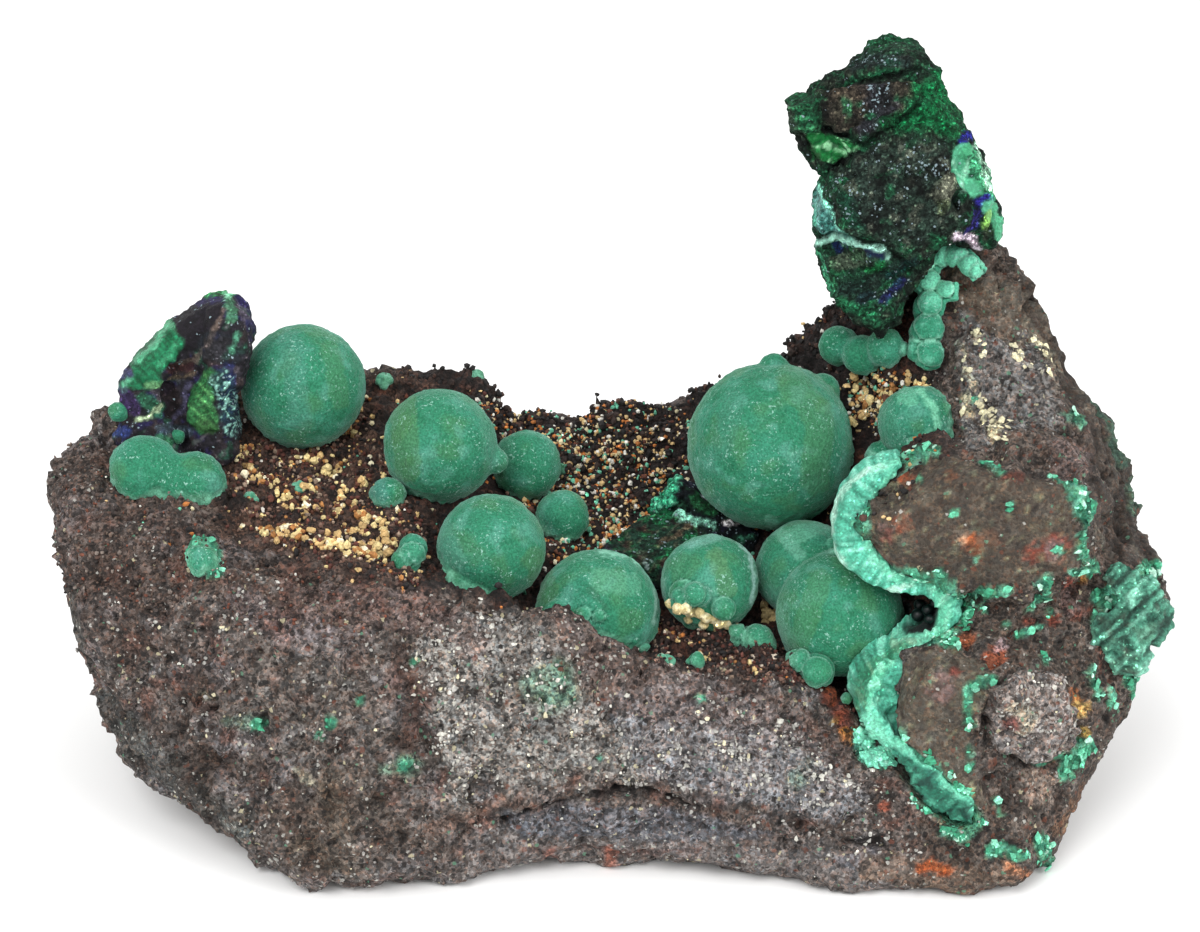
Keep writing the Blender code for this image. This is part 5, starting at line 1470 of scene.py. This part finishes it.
# The cream crust that hangs on the ball in the middle, and the dark beads in the opening beside the crust.
LUMPS = [
    (672, 604, 0.5), (678, 608, 0.6), (685, 607, 0.65), (692, 611, 0.6), (699, 612, 0.55), (706, 616, 0.6),
    (713, 618, 0.5), (719, 622, 0.55), (726, 624, 0.5), (734, 627, 0.45), (690, 618, 0.5), (704, 623, 0.5),
    (716, 628, 0.45),
]
ball_tree = tree_of(cad_mesh("ball_centre"))
lumps = []
for u, v, radius in LUMPS:
    place, direction = seat(u, v, ball_tree)
    lumps.append((*(place + direction * radius * 0.3), radius))
mesh = remeshed(merged([sphere_mesh(*lump, 3) for lump in lumps]), 0.14)
p, n = points_of(mesh), normals_of(mesh)
put_points(mesh, p + n * (0.16 * fractal(p, 0.8, 3, 190))[:, None])
coat = Coat(View(p, n), 196, 178, 128)
coat.mottle(0.9, 2, 191, 0, 0.5, 0.8, 222, 212, 176)
dressed("cream_crust", mesh, coat, tinted_material("cream", 0.25, 0.3, 0.1), "ball_centre")

BEADS = [
    (905, 604, 0.55), (911, 610, 0.7), (920, 605, 0.6), (918, 615, 0.65), (928, 610, 0.6), (907, 617, 0.5),
    (935, 603, 0.5), (899, 611, 0.45), (929, 619, 0.45),
]
opening_tree = tree_of(cad_mesh("matrix", "crust"))
beads = [sphere_mesh(*seat(u, v, opening_tree)[0], radius, 3) for u, v, radius in BEADS]
mesh = merged(beads)
p, n = points_of(mesh), normals_of(mesh)
# The beads' edges, as they face away from the camera, are lightened: a painted highlight.
edge = ramp(n @ TO_CAMERA, 0.35, 0.1)
coat = Coat(View(p, n), 2, 13, 13)
coat.mottle(0.8, 2, 193, 0.0, 0.4, edge * 0.6, 96, 136, 130)
dressed("dark_beads", mesh, coat, tinted_material("dark_bead", 0.4, 0.2, 0.02, 0, 0.3), "matrix", gloss=1.0)


# ---------------------------------------------------------------- scene

SURROUNDING_LIGHT = 1.02
# Each lamp's name, place and size in metres, and power.
LAMPS = [("key", (-0.35, -0.75, 0.85), 0.7, 7.4), ("fill", (0.7, -0.6, 0.5), 0.6, 4.4)]
FLOOR_HALF = 3.0


def stage_and_light():
    floor = bpy.data.meshes.new("floor")
    corners = [(x * FLOOR_HALF, y * FLOOR_HALF, 0) for x, y in ((-1, -1), (1, -1), (1, 1), (-1, 1))]
    floor.from_pydata(corners, [], [(0, 1, 2, 3)])
    obj = linked("floor", floor)
    n = Nodes("floor")
    n.set("Base Color", n.mix(n.noise(90, 2), (0.95, 0.95, 0.945), (0.97, 0.97, 0.965)))
    n.set("Roughness", 0.9)
    floor.materials.append(n.material)

    world = bpy.data.worlds.new("studio")
    bpy.context.scene.world = world
    world.use_nodes = True
    background = world.node_tree.nodes["Background"].inputs
    background["Color"].default_value = (1, 1, 1, 1)
    background["Strength"].default_value = SURROUNDING_LIGHT

    for name, place, size, power in LAMPS:
        lamp = bpy.data.lights.new(name, "AREA")
        lamp.shape = "DISK"
        lamp.size = size
        lamp.energy = power
        obj = linked(name, lamp)
        obj.location = place
        obj.rotation_euler = (Vector((0, 0, 0.03)) - Vector(place)).to_track_quat("-Z", "Y").to_euler()

    camera = bpy.data.cameras.new("camera")
    camera.lens = LENS
    camera.sensor_width = SENSOR
    camera.sensor_fit = "HORIZONTAL"
    camera.clip_start = 0.01
    camera.clip_end = 20
    obj = linked("camera", camera)
    obj.location = EYE * MM
    obj.rotation_euler = (-BACKWARDS).to_track_quat("-Z", "Y").to_euler()
    bpy.context.scene.camera = obj
    bpy.context.scene.view_settings.view_transform = "Standard"


stage_and_light()
